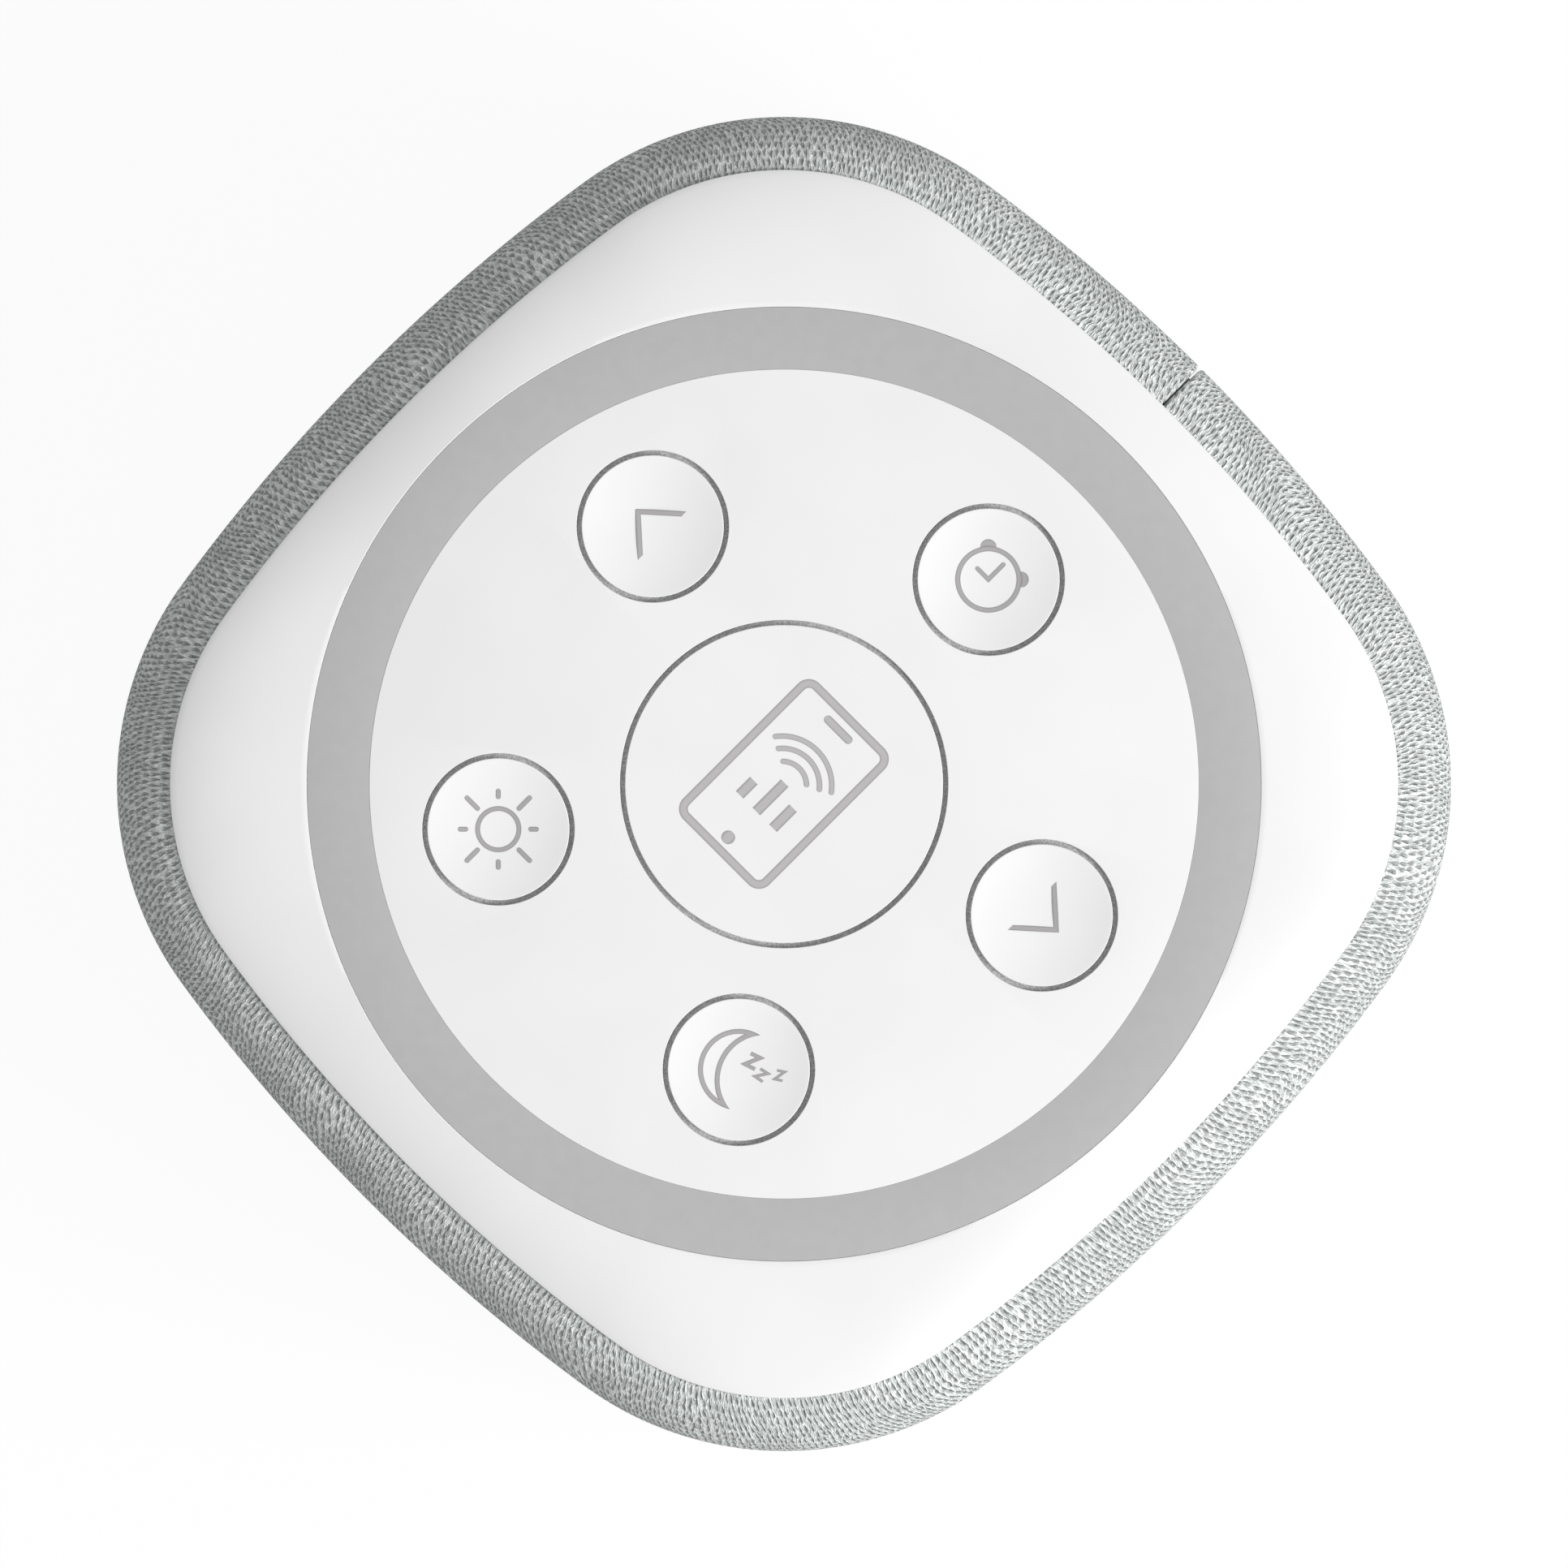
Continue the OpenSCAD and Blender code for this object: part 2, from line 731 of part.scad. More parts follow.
module ring_reflector() {
    seat_r = panel_r + ring_fit / 2;
    color("white")
        difference() {
            rotate_extrude()
                polygon([
                    [reflector_inner_r, key_top_z], [reflector_outer_r, key_top_z],
                    [reflector_outer_r, ring_z], [channel_outer_r, ring_z],
                    [channel_outer_r, key_top_z + reflector_floor],
                    [channel_inner_r, key_top_z + reflector_floor],
                    [channel_inner_r, ring_z], [seat_r, ring_z],
                    [seat_r, panel_z], [reflector_inner_r, panel_z]
                ]);
            at_leds()
                block(led_l + 0.6, led_w + 0.6, reflector_floor + 1, key_top_z - eps);
        }
}

module ring_leds() {
    color("lemonchiffon")
        at_leds()
            block(led_l, led_w, led_h, key_top_z, 0.2);
}

module panel_hole(d) {
    translate([0, 0, panel_z - 1])
        cylinder(d = d, h = panel_t + 2);
    translate([0, 0, panel_z - 1])
        cylinder(d = d + 2 * flange_w, h = lip_z - panel_z + 1);
}

module control_panel() {
    color("white")
        difference() {
            union() {
                rotate_extrude()
                    polygon([
                        [0, panel_z], [panel_r, panel_z], [panel_r, body_h - panel_bevel],
                        [panel_r - panel_bevel, body_h], [0, body_h]
                    ]);
                at_panel_posts()
                    translate([0, 0, key_top_z])
                        cylinder(d = panel_post_d, h = panel_z - key_top_z + eps);
            }
            panel_hole(centre_hole_d);
            for (i = [0:small_count - 1])
                rotate([0, 0, next_a + 360 / small_count * i])
                    translate([button_circle_r, 0, 0])
                        panel_hole(small_hole_d);
            at_panel_posts()
                translate([0, 0, key_top_z - eps])
                    cylinder(d = small_screw_d + 2 * running_fit, h = small_screw_l - board_t + 0.5);
        }
}

module panel_screws() {
    color("silver")
        at_panel_posts()
            translate([0, 0, key_z])
                screw(small_screw_d, small_screw_l, small_head_d, small_head_h);
}

module key_board() {
    color("seagreen")
        difference() {
            translate([0, 0, key_z])
                linear_extrude(height = board_t)
                    union() {
                        circle(r = key_board_r);
                        for (q = [0:3])
                            rotate(ear_a + 90 * q) {
                                translate([ear_r, 0])
                                    circle(d = ear_d);
                                translate([key_board_r - 2, -ear_d * 0.4])
                                    square([ear_r - key_board_r + 2, ear_d * 0.8]);
                            }
                    }
            at_panel_posts()
                translate([0, 0, key_z - eps])
                    cylinder(d = small_screw_d + screw_fit, h = board_t + 1);
            at_corners(ear_r, ear_a)
                translate([0, 0, key_z - eps])
                    cylinder(d = small_screw_d + screw_fit, h = board_t + 1);
        }
}

module key_board_screws() {
    color("silver")
        at_corners(ear_r, ear_a)
            translate([0, 0, key_z])
                screw(small_screw_d, small_screw_l, small_head_d, small_head_h);
}

module switch_bodies() {
    color("dimgray")
        at_switches()
            difference() {
                block(switch_w, switch_w, switch_h, key_top_z);
                translate([0, 0, plunger_z - button_travel - fit])
                    cylinder(d = plunger_d + 2 * running_fit, h = switch_h);
            }
}

// ---- Buttons and plungers ----

module button_body(hole_d, rib_l) {
    cap_r = hole_d / 2 - button_gap;
    rotate_extrude()
        polygon([
            [0, flange_z], [cap_r + flange_w, flange_z],
            [cap_r + flange_w, flange_top_z], [cap_r, flange_top_z],
            [cap_r, body_h - button_bevel], [cap_r - button_bevel, body_h], [0, body_h]
        ]);
    translate([0, 0, plunger_top_z])
        cylinder(d = stem_d, h = flange_z - plunger_top_z + eps);
    for (a = [45, 135])
        rotate([0, 0, a])
            translate([-rib_l, -rib_t / 2, plunger_top_z + rib_gap])
                cube([2 * rib_l, rib_t, flange_z - plunger_top_z - rib_gap + eps]);
}

module small_button(a) {
    dish_r = small_hole_d / 2 - button_gap - button_bevel;
    ball_r = (dish_r * dish_r + dish_depth * dish_depth) / (2 * dish_depth);
    color("white")
        rotate([0, 0, a])
            translate([button_circle_r, 0, 0])
                difference() {
                    button_body(small_hole_d, small_hole_d * 0.36);
                    translate([0, 0, body_h - dish_depth + ball_r])
                        sphere(r = ball_r, $fn = 128);
                }
}

module phone_button() {
    color("white")
        button_body(centre_hole_d, centre_hole_d * 0.4);
}

module timer_button() {
    small_button(timer_a);
}

module previous_button() {
    small_button(previous_a);
}

module light_button() {
    small_button(light_a);
}

module sleep_button() {
    small_button(sleep_a);
}

module next_button() {
    small_button(next_a);
}

module plunger(a, r) {
    color("black")
        rotate([0, 0, a])
            translate([r, 0, plunger_z])
                cylinder(d = plunger_d, h = plunger_top_z - plunger_z);
}

module phone_plunger() {
    plunger(0, 0);
}

module timer_plunger() {
    plunger(timer_a, button_circle_r);
}

module previous_plunger() {
    plunger(previous_a, button_circle_r);
}

module light_plunger() {
    plunger(light_a, button_circle_r);
}

module sleep_plunger() {
    plunger(sleep_a, button_circle_r);
}

module next_plunger() {
    plunger(next_a, button_circle_r);
}

// ---- Speaker ----

module speaker_box() {
    hole_r = basket_r + 1.2;
    boss_l = 7;
    color("dimgray")
        difference() {
            union() {
                rotate_extrude()
                    polygon([
                        [0, box_z], [box_r, box_z], [box_r, box_top_z], [hole_r, box_top_z],
                        [hole_r, box_top_z - box_wall], [box_r - box_wall, box_top_z - box_wall],
                        [box_r - box_wall, box_z + box_wall], [0, box_z + box_wall]
                    ]);
                at_corners(post_r)
                    translate([0, 0, ear_z])
                        cylinder(d = post_d, h = box_ear_t);
                for (q = [0:3])
                    rotate([0, 0, 45 + 90 * q])
                        translate([box_r - box_wall / 2, -post_d / 2 + 0.2, ear_z])
                            cube([post_r - box_r + box_wall / 2, post_d - 0.4, box_ear_t]);
                at_corners(speaker_screw_r, 0)
                    translate([0, 0, box_top_z - boss_l])
                        cylinder(d = small_screw_d + 2.4, h = boss_l - eps);
            }
            at_corners(post_r)
                translate([0, 0, ear_z - 1])
                    cylinder(d = case_screw_d + 2 * screw_fit, h = box_ear_t + 2);
            at_corners(speaker_screw_r, 0)
                translate([0, 0, box_top_z - boss_l + 1])
                    cylinder(d = small_screw_d + 2 * running_fit, h = boss_l);
            rotate([0, 0, lead_a])
                translate([box_r - box_wall - 1, 0, grommet_z])
                    rotate([0, 90, 0])
                        cylinder(r = grommet_r, h = box_wall + 2);
        }
}

module lead_grommet() {
    color("black")
        rotate([0, 0, lead_a])
            translate([box_r - box_wall - 0.6, 0, grommet_z])
                rotate([0, 90, 0])
                    difference() {
                        cylinder(r = grommet_r - fit, h = box_wall + 1.6);
                        for (side = [-1, 1])
                            translate([0, side * lead_pitch / 2, -1])
                                cylinder(r = lead_r + fit, h = box_wall + 4);
                    }
}

module speaker_gasket() {
    color("black")
        difference() {
            tube(speaker_r, basket_r + 1.2, box_top_z, gasket_t);
            at_corners(speaker_screw_r, 0)
                translate([0, 0, box_top_z - 1])
                    cylinder(d = small_screw_d + screw_fit, h = gasket_t + 2);
        }
}

module speaker_basket() {
    step_r = basket_foot_r - 0.9;
    wall_x = basket_t * 1.1;
    window_w = 15;
    color("gray")
        difference() {
            rotate_extrude()
                polygon([
                    [former_r + 2.1, plate_top_z], [basket_foot_r, plate_top_z],
                    [basket_foot_r + 0.6, spider_z - basket_t], [basket_r + wall_x, speaker_z - basket_t],
                    [speaker_r, speaker_z - basket_t], [speaker_r, speaker_z],
                    [basket_r, speaker_z], [basket_foot_r + 0.3, spider_z],
                    [step_r, spider_z], [step_r, plate_top_z + basket_t],
                    [former_r + 2.1, plate_top_z + basket_t]
                ]);
            for (q = [0:3])
                rotate([0, 0, 90 * q])
                    translate([step_r + 1.2, -window_w / 2, spider_z + 0.6])
                        cube([speaker_r, window_w, speaker_z - basket_t - 0.6 - spider_z - 0.6]);
            at_corners(speaker_screw_r, 0)
                translate([0, 0, speaker_z - basket_t - 1])
                    cylinder(d = small_screw_d + screw_fit, h = basket_t + 2);
        }
}

module speaker_screws() {
    color("silver")
        at_corners(speaker_screw_r, 0)
            translate([0, 0, speaker_z])
                rotate([180, 0, 0])
                    screw(small_screw_d, small_screw_l, small_screw_d * 1.7, small_head_h);
}

module magnet_yoke() {
    pole_r = former_r - former_t - coil_gap;
    color("silver")
        union() {
            translate([0, 0, yoke_z])
                cylinder(d = magnet_d - 2, h = plate_t);
            translate([0, 0, yoke_z])
                cylinder(r = pole_r, h = plate_top_z - yoke_z);
        }
}

module ferrite_magnet() {
    color("darkslategray")
        tube(magnet_d / 2, former_r + coil_t + coil_gap + 0.8, magnet_z, magnet_t);
}

module magnet_plate() {
    color("silver")
        tube(magnet_d / 2 - 1, former_r + coil_t + coil_gap, magnet_top_z, plate_t);
}

module coil_former() {
    color("tan")
        tube(former_r, former_r - former_t, magnet_top_z - 1.5, cone_z - magnet_top_z + 2.3);
}

module voice_coil() {
    color("peru")
        tube(former_r + coil_t, former_r + running_fit / 2, magnet_top_z - 1.2, plate_t + 2.4);
}

module speaker_cone() {
    rim_z2 = speaker_z - 0.2;
    color("dimgray")
        rotate_extrude()
            polygon([
                [former_r + running_fit, cone_z], [cone_r * 0.62, lerp(cone_z, rim_z2, 0.42)],
                [cone_r, rim_z2], [cone_r, rim_z2 + cone_t],
                [cone_r * 0.61, lerp(cone_z, rim_z2, 0.42) + cone_t],
                [former_r + running_fit, cone_z + cone_t]
            ]);
}

module dust_cap() {
    cap_r = former_r + 1.2;
    rise = 2.4;
    seat_z = cone_z + 1.3;
    steps = 8;
    color("black")
        rotate_extrude()
            polygon(concat(
                [for (i = [0:steps])
                    let (a = 90 * i / steps) [cap_r * cos(a), seat_z + rise * sin(a)]],
                [for (i = [steps:-1:0])
                    let (a = 90 * i / steps) [(cap_r - cone_t) * cos(a), seat_z + (rise - cone_t) * sin(a)]]
            ));
}

module cone_surround() {
    roll_in = cone_r + 0.5;
    roll_out = basket_r - 0.3;
    mid = (roll_in + roll_out) / 2;
    roll_r = (roll_out - roll_in) / 2;
    seat_z = speaker_z + 0.3;
    skin = 0.4;
    steps = 10;
    color("black")
        rotate_extrude()
            polygon(concat(
                [[cone_r - 0.8, seat_z], [roll_in + skin, seat_z]],
                [for (i = [steps - 1:-1:1])
                    let (a = 180 * i / steps)
                        [mid + (roll_r - skin) * cos(a), seat_z + (roll_r - skin) * sin(a)]],
                [[roll_out - skin, seat_z], [basket_r + 0.2, seat_z - 0.3 + fit / 2],
                    [basket_r + 0.8, seat_z - 0.3 + fit / 2], [basket_r + 0.8, seat_z + skin],
                    [roll_out, seat_z + skin]],
                [for (i = [1:steps - 1])
                    let (a = 180 * i / steps)
                        [mid + roll_r * cos(a), seat_z + skin + roll_r * sin(a)]],
                [[roll_in, seat_z + skin], [cone_r - 0.8, seat_z + skin]]
            ));
}

module cone_spider() {
    inner_r = former_r + running_fit;
    outer_r = basket_foot_r - 0.1;
    waves = 4;
    skin = 0.3;
    steps = 32;
    function wave(t) = spider_z + running_fit + 0.45 * (1 - cos(360 * waves * t)) / 2;
    color("burlywood")
        rotate_extrude()
            polygon(concat(
                [for (i = [0:steps]) [lerp(inner_r, outer_r, i / steps), wave(i / steps)]],
                [for (i = [steps:-1:0]) [lerp(inner_r, outer_r, i / steps), wave(i / steps) + skin]]
            ));
}

module speaker_terminals() {
    tag_r = basket_foot_r + 0.9;
    color("goldenrod")
        rotate([0, 0, lead_a]) {
            translate([tag_r, -4, plate_top_z])
                cube([0.8, 8, spider_z - basket_t - plate_top_z]);
            for (side = [-1, 1])
                translate([tag_r + 0.8, side * lead_pitch / 2 - 0.5, plate_top_z + 1])
                    cube([1.2, 1, 0.5]);
        }
}

// ---- Main board ----

module main_board() {
    color("seagreen")
        difference() {
            translate([0, main_front_y + main_board_l / 2, 0])
                block(main_board_w, main_board_l, board_t, main_board_z, 2);
            at_standoffs()
                translate([0, 0, main_board_z - 1])
                    cylinder(d = small_screw_d + screw_fit, h = board_t + 2);
        }
}

module main_board_screws() {
    color("silver")
        at_standoffs()
            translate([0, 0, main_top_z])
                rotate([180, 0, 0])
                    screw(small_screw_d, board_t + standoff_h - 0.2, small_head_d, small_head_h);
}

module sound_chip() {
    color("black")
        translate([radio_x + (radio_w + sound_chip_w) / 2 + 2.5, chip_row_y, 0])
            block(sound_chip_w, sound_chip_w, sound_chip_h, main_top_z);
}

module amplifier_chip() {
    color("black")
        translate([main_board_w / 2 - 17, chip_row_y - sound_chip_w, 0])
            block(amplifier_w, amplifier_w, amplifier_h, main_top_z);
}

module radio_module() {
    color("silver")
        translate([radio_x, chip_row_y, 0])
            block(radio_w, radio_l, radio_h, main_top_z);
}

module power_coil() {
    color("dimgray")
        translate([speaker_socket_x + (lead_socket_w + power_coil_w) / 2 + 2.5, speaker_socket_y, 0])
            block(power_coil_w, power_coil_w, power_coil_h, main_top_z, 1);
}

module capacitors() {
    color("silver")
        for (x = [0, can_pitch])
            translate([x, main_front_y + can_d / 2 + 1.5, main_top_z])
                cylinder(d = can_d, h = can_h);
}

module lead_sockets() {
    color("ivory") {
        translate([battery_socket_x, main_front_y + lead_socket_w / 2 + 0.5, 0])
            block(lead_socket_w + 1, lead_socket_w, lead_socket_h, main_top_z);
        translate([speaker_socket_x, speaker_socket_y, 0])
            block(lead_socket_w, lead_socket_w, lead_socket_h, main_top_z);
    }
}

module ribbon_sockets() {
    color("ivory") {
        translate([ribbon_x, ribbon_y - 2, 0])
            block(ribbon_w + 3, 4, socket_h, main_top_z);
        translate([ribbon_x, key_socket_y - 2, 0])
            block(ribbon_w + 3, 4, socket_h, key_z - socket_h);
    }
}

// The ribbon's path front to back and up, with rounded turns
ribbon_low_z = main_top_z + socket_h / 2;
ribbon_high_z = key_z - socket_h / 2;
ribbon_turn = 2.5;
ribbon_path = concat(
    [[ribbon_y, ribbon_low_z]],
    [for (i = [0:6])
        [ribbon_run_y - ribbon_turn + ribbon_turn * sin(15 * i),
            ribbon_low_z + ribbon_turn - ribbon_turn * cos(15 * i)]],
    [for (i = [0:6])
        [ribbon_run_y - ribbon_turn + ribbon_turn * cos(15 * i),
            ribbon_high_z - ribbon_turn + ribbon_turn * sin(15 * i)]],
    [[key_socket_y, ribbon_high_z]]
);
function ribbon_side(i, d) =
    let (t = along(ribbon_path, i)) ribbon_path[i] + d * [-t[1], t[0]];

module ribbon_cable() {
    n = len(ribbon_path);
    color("aliceblue")
        translate([ribbon_x - ribbon_w / 2, 0, 0])
            rotate([90, 0, 90])
                linear_extrude(height = ribbon_w)
                    polygon(concat(
                        [for (i = [0:n - 1]) ribbon_side(i, -ribbon_t / 2)],
                        [for (i = [n - 1:-1:0]) ribbon_side(i, ribbon_t / 2)]
                    ));
}

module usb_shell() {
    wall = 0.3;
    color("silver")
        translate([0, usb_mouth_y, usb_z])
            rotate([90, 0, 0])
                difference() {
                    linear_extrude(height = usb_l)
                        polygon(round_rect(usb_w, usb_h, usb_h / 2, 8));
                    translate([0, 0, -1])
                        linear_extrude(height = usb_l - 0.4)
                            polygon(round_rect(usb_w - 2 * wall, usb_h - 2 * wall, usb_h / 2 - wall, 8));
                }
}

module usb_tongue() {
    color("black")
        translate([-3.35, usb_mouth_y - usb_l + 1.4, usb_z - 0.35])
            cube([6.7, usb_l - 2.2, 0.7]);
}

// ---- Battery and leads ----

module battery() {
    color("silver")
        translate([0, battery_back_y - battery_l / 2, 0])
            block(battery_w, battery_l, battery_t, battery_z, 2);
}

module battery_pad() {
    color("black")
        translate([0, battery_back_y - battery_l / 2, 0])
            block(battery_w - 6, battery_l - 6, battery_pad_t, floor_z, 1);
}

module battery_lead() {
    start_y = battery_back_y + screw_fit;
    end_y = main_front_y + 0.5 - screw_fit;
    start_z = battery_z + battery_t / 2;
    end_z = main_top_z + 2;
    steps = 10;
    color("firebrick")
        for (side = [-1, 1])
            wire([for (i = [0:steps])
                let (t = i / steps)
                    [battery_socket_x + side * lead_pitch / 2, lerp(start_y, end_y, t),
                        lerp(start_z, end_z, (1 - cos(180 * t)) / 2) + 1.2 * sin(180 * t)]], lead_r);
}

// Each lead leaves its tag, drops inside the box, crosses the grommet and runs down to its socket
lead_run = [
    [basket_foot_r + 2.6, plate_top_z + 0.2],
    [basket_foot_r + 3.6, plate_top_z - 1.5],
    [basket_foot_r + 4, plate_top_z - 5],
    [box_r - 7, grommet_z + 2.5],
    [box_r - 5, grommet_z + 0.6],
    [box_r - 3, grommet_z],
    [box_r + 1.6, grommet_z],
    [box_r + 3.2, grommet_z - 1],
    [box_r + 3.8, grommet_z - 3]
];
function lead_point(p, side) =
    turned([p[0], side * lead_pitch / 2], lead_a, p[1]);

module speaker_lead() {
    color("black")
        for (side = [-1, 1])
            let (x = speaker_socket_x - side * lead_pitch / 2)
                wire(concat(
                    [for (p = lead_run) lead_point(p, side)],
                    [
                        [x + 1.4, speaker_socket_y - 2, box_z - lead_r - fit],
                        [x, speaker_socket_y, main_top_z + lead_socket_h + 1.9],
                        [x, speaker_socket_y, main_top_z + lead_socket_h + fit]
                    ]), lead_r);
}

base_shell();
rubber_feet();
case_screws();
sleeve_frame();
fabric_sleeve();
top_shell();
shell_screws();
light_ring();
ring_reflector();
ring_leds();
control_panel();
panel_screws();
key_board();
key_board_screws();
switch_bodies();
phone_button();
timer_button();
previous_button();
light_button();
sleep_button();
next_button();
phone_plunger();
timer_plunger();
previous_plunger();
light_plunger();
sleep_plunger();
next_plunger();
speaker_box();
lead_grommet();
speaker_gasket();
speaker_basket();
speaker_screws();
magnet_yoke();
ferrite_magnet();
magnet_plate();
coil_former();
voice_coil();
speaker_cone();
dust_cap();
cone_surround();
cone_spider();
speaker_terminals();
main_board();
main_board_screws();
sound_chip();
amplifier_chip();
radio_module();
power_coil();
capacitors();
lead_sockets();
ribbon_sockets();
ribbon_cable();
usb_shell();
usb_tongue();
battery();
battery_pad();
battery_lead();
speaker_lead();
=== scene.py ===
"""Looks of the table-top sound machine: knitted sleeve, moulded shells, light ring and keys."""

import logging
import math
from dataclasses import dataclass
from enum import Enum
from typing import Iterable, Sequence

import bmesh
import bpy
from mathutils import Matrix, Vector
from mathutils.kdtree import KDTree


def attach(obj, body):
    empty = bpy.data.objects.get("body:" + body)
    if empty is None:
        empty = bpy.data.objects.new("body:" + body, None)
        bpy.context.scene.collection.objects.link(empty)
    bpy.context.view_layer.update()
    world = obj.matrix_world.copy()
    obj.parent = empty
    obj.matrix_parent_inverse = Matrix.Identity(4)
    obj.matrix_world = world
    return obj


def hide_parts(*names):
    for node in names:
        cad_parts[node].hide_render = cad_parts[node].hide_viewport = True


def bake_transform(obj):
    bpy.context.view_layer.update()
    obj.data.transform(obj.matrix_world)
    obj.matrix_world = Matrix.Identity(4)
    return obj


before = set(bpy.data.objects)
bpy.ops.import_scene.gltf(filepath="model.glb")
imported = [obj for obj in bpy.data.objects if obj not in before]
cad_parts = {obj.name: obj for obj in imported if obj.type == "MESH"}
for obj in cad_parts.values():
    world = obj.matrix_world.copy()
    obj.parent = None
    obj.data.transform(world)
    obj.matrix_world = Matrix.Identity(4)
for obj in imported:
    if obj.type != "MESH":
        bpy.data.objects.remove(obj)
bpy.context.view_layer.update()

# A millimetre and the merging distance in metres, and the steps round a large piece.
MM = 0.001
MERGE = 1e-6
FINE = 240

# Height of the panel's face, and the corner posts' distance from the middle and directions.
TOP = 64.0
POST_R = 43.659
DIAGONALS = (45.0, 135.0, 225.0, 315.0)

Point = tuple[float, float]
Span = tuple[float, float]
Paint = tuple[float, float, float, float]
Piece = bpy.types.Object
Socket = bpy.types.NodeSocket

log = logging.getLogger("sound_machine")


# ---- Bench: operators for modelling ----


def rest() -> None:
    """Deselects every object, so that the next operator touches only what it is given."""
    bpy.ops.object.select_all(action="DESELECT")


def pick(*pieces: Piece) -> None:
    """Selects some pieces alone and makes the first one active.

    Args:
        *pieces: The pieces.
    """
    rest()
    for piece in pieces:
        piece.select_set(True)
    bpy.context.view_layer.objects.active = pieces[0]


def edit() -> None:
    """Opens the active piece in edit mode, with all of it selected."""
    bpy.ops.object.mode_set(mode="EDIT")
    bpy.ops.mesh.select_all(action="SELECT")


def named(piece: Piece, name: str) -> Piece:
    """Gives a piece and its mesh one name.

    Args:
        piece: The piece.
        name: The name.

    Returns:
        The same piece.
    """
    piece.name = piece.data.name = name
    return piece


def close(name: str) -> Piece:
    """Merges doubles, turns the faces outwards and leaves edit mode.

    Args:
        name: The piece's name.

    Returns:
        The active piece.
    """
    bpy.ops.mesh.select_all(action="SELECT")
    bpy.ops.mesh.remove_doubles(threshold=MERGE)
    bpy.ops.mesh.dissolve_degenerate(threshold=MERGE)
    bpy.ops.mesh.normals_make_consistent(inside=False)
    bpy.ops.object.mode_set(mode="OBJECT")
    return named(bpy.context.object, name)


def raised(height: float) -> None:
    """Extrudes the selected faces upwards by a height in millimetres."""
    bpy.ops.mesh.extrude_region_move(TRANSFORM_OT_translate={"value": (0, 0, height * MM)})


def applied(piece: Piece) -> Piece:
    """Puts a piece's place and turn into its mesh.

    Args:
        piece: The piece.

    Returns:
        The same piece.
    """
    pick(piece)
    bpy.ops.object.transform_apply(location=True, rotation=True, scale=True)
    return piece


def spun(name: str, profile: Sequence[Point], steps: int = 144) -> Piece:
    """Draws a profile by extruding one vertex and spins it round the upright axis.

    Args:
        name: The piece's name.
        profile: Points of (radius, height) in millimetres, from axis to axis or back to the start.
        steps: Number of steps round the axis.

    Returns:
        The closed piece.
    """
    rest()
    bpy.ops.mesh.primitive_plane_add(size=MM)
    edit()
    bpy.ops.mesh.merge(type="CENTER")
    bpy.ops.transform.translate(value=(profile[0][0] * MM, 0, profile[0][1] * MM))
    for start, end in zip(profile, profile[1:]):
        step = ((end[0] - start[0]) * MM, 0, (end[1] - start[1]) * MM)
        bpy.ops.mesh.extrude_region_move(TRANSFORM_OT_translate={"value": step})
    bpy.ops.mesh.select_all(action="SELECT")
    bpy.ops.mesh.spin(steps=steps, angle=math.tau, center=(0, 0, 0), axis=(0, 0, 1))
    return close(name)


def barrel(radius: float, low: float, high: float) -> list[Point]:
    """Gives the profile of a plain round bar between two heights."""
    return [(0, low), (radius, low), (radius, high), (0, high)]


def lay(piece: Piece, before: Sequence[Vector], after: Sequence[Vector]) -> None:
    """Moves the selected vertices of an edited piece from one ring of places to the next.

    Args:
        piece: The piece in edit mode.
        before: Where the ring is now.
        after: Where each of its points goes, in the same order.
    """
    tree = KDTree(len(before))
    for index, place in enumerate(before):
        tree.insert(place, index)
    tree.balance()
    mesh = bmesh.from_edit_mesh(piece.data)
    for vertex in mesh.verts:
        if vertex.select:
            vertex.co = after[tree.find(vertex.co)[1]]
    bmesh.update_edit_mesh(piece.data)


def lofted(name: str, rings: Sequence[Sequence[Vector]], solid: bool) -> Piece:
    """Extrudes a ring again and again and lays each copy on the next ring.

    Args:
        name: The piece's name.
        rings: Rings with the same number of points, in metres.
        solid: True for end faces on the first and last ring, False to join the last to the first.

    Returns:
        The closed piece.
    """
    rest()
    fill = "NGON" if solid else "NOTHING"
    bpy.ops.mesh.primitive_circle_add(vertices=len(rings[0]), radius=10 * MM, fill_type=fill)
    piece = bpy.context.object
    start = [vertex.co.copy() for vertex in piece.data.vertices]
    edit()
    lay(piece, start, rings[0])
    course = list(rings) if solid else [*rings, rings[0]]
    for before, after in zip(course, course[1:]):
        if solid:
            bpy.ops.mesh.extrude_region_move()
        else:
            bpy.ops.mesh.extrude_edges_move()
        lay(piece, before, after)
    return close(name)


def twin(piece: Piece, x: float, y: float, turn: float = 0.0) -> Piece:
    """Copies a piece with its mesh, turns the copy round the upright axis and moves it in plan.

    Args:
        piece: The piece, modelled round the upright axis.
        x: Distance to the right, in millimetres.
        y: Distance to the back, in millimetres.
        turn: Angle in degrees.

    Returns:
        The copy.
    """
    pick(piece)
    bpy.ops.object.duplicate(linked=False)
    copy = bpy.context.object
    copy.rotation_euler = (0, 0, math.radians(turn))
    copy.location = (x * MM, y * MM, 0)
    return applied(copy)


def copied(piece: Piece, places: Iterable[Point]) -> Piece:
    """Copies a piece to each place, joins the copies and removes the first one.

    Args:
        piece: The piece, modelled round the upright axis.
        places: Places in plan, in millimetres.

    Returns:
        One piece made of the copies.
    """
    name, copies = piece.name, [twin(piece, x, y) for x, y in places]
    bpy.data.objects.remove(piece)
    pick(*copies)
    if len(copies) > 1:
        bpy.ops.object.join()
    return named(bpy.context.object, name)


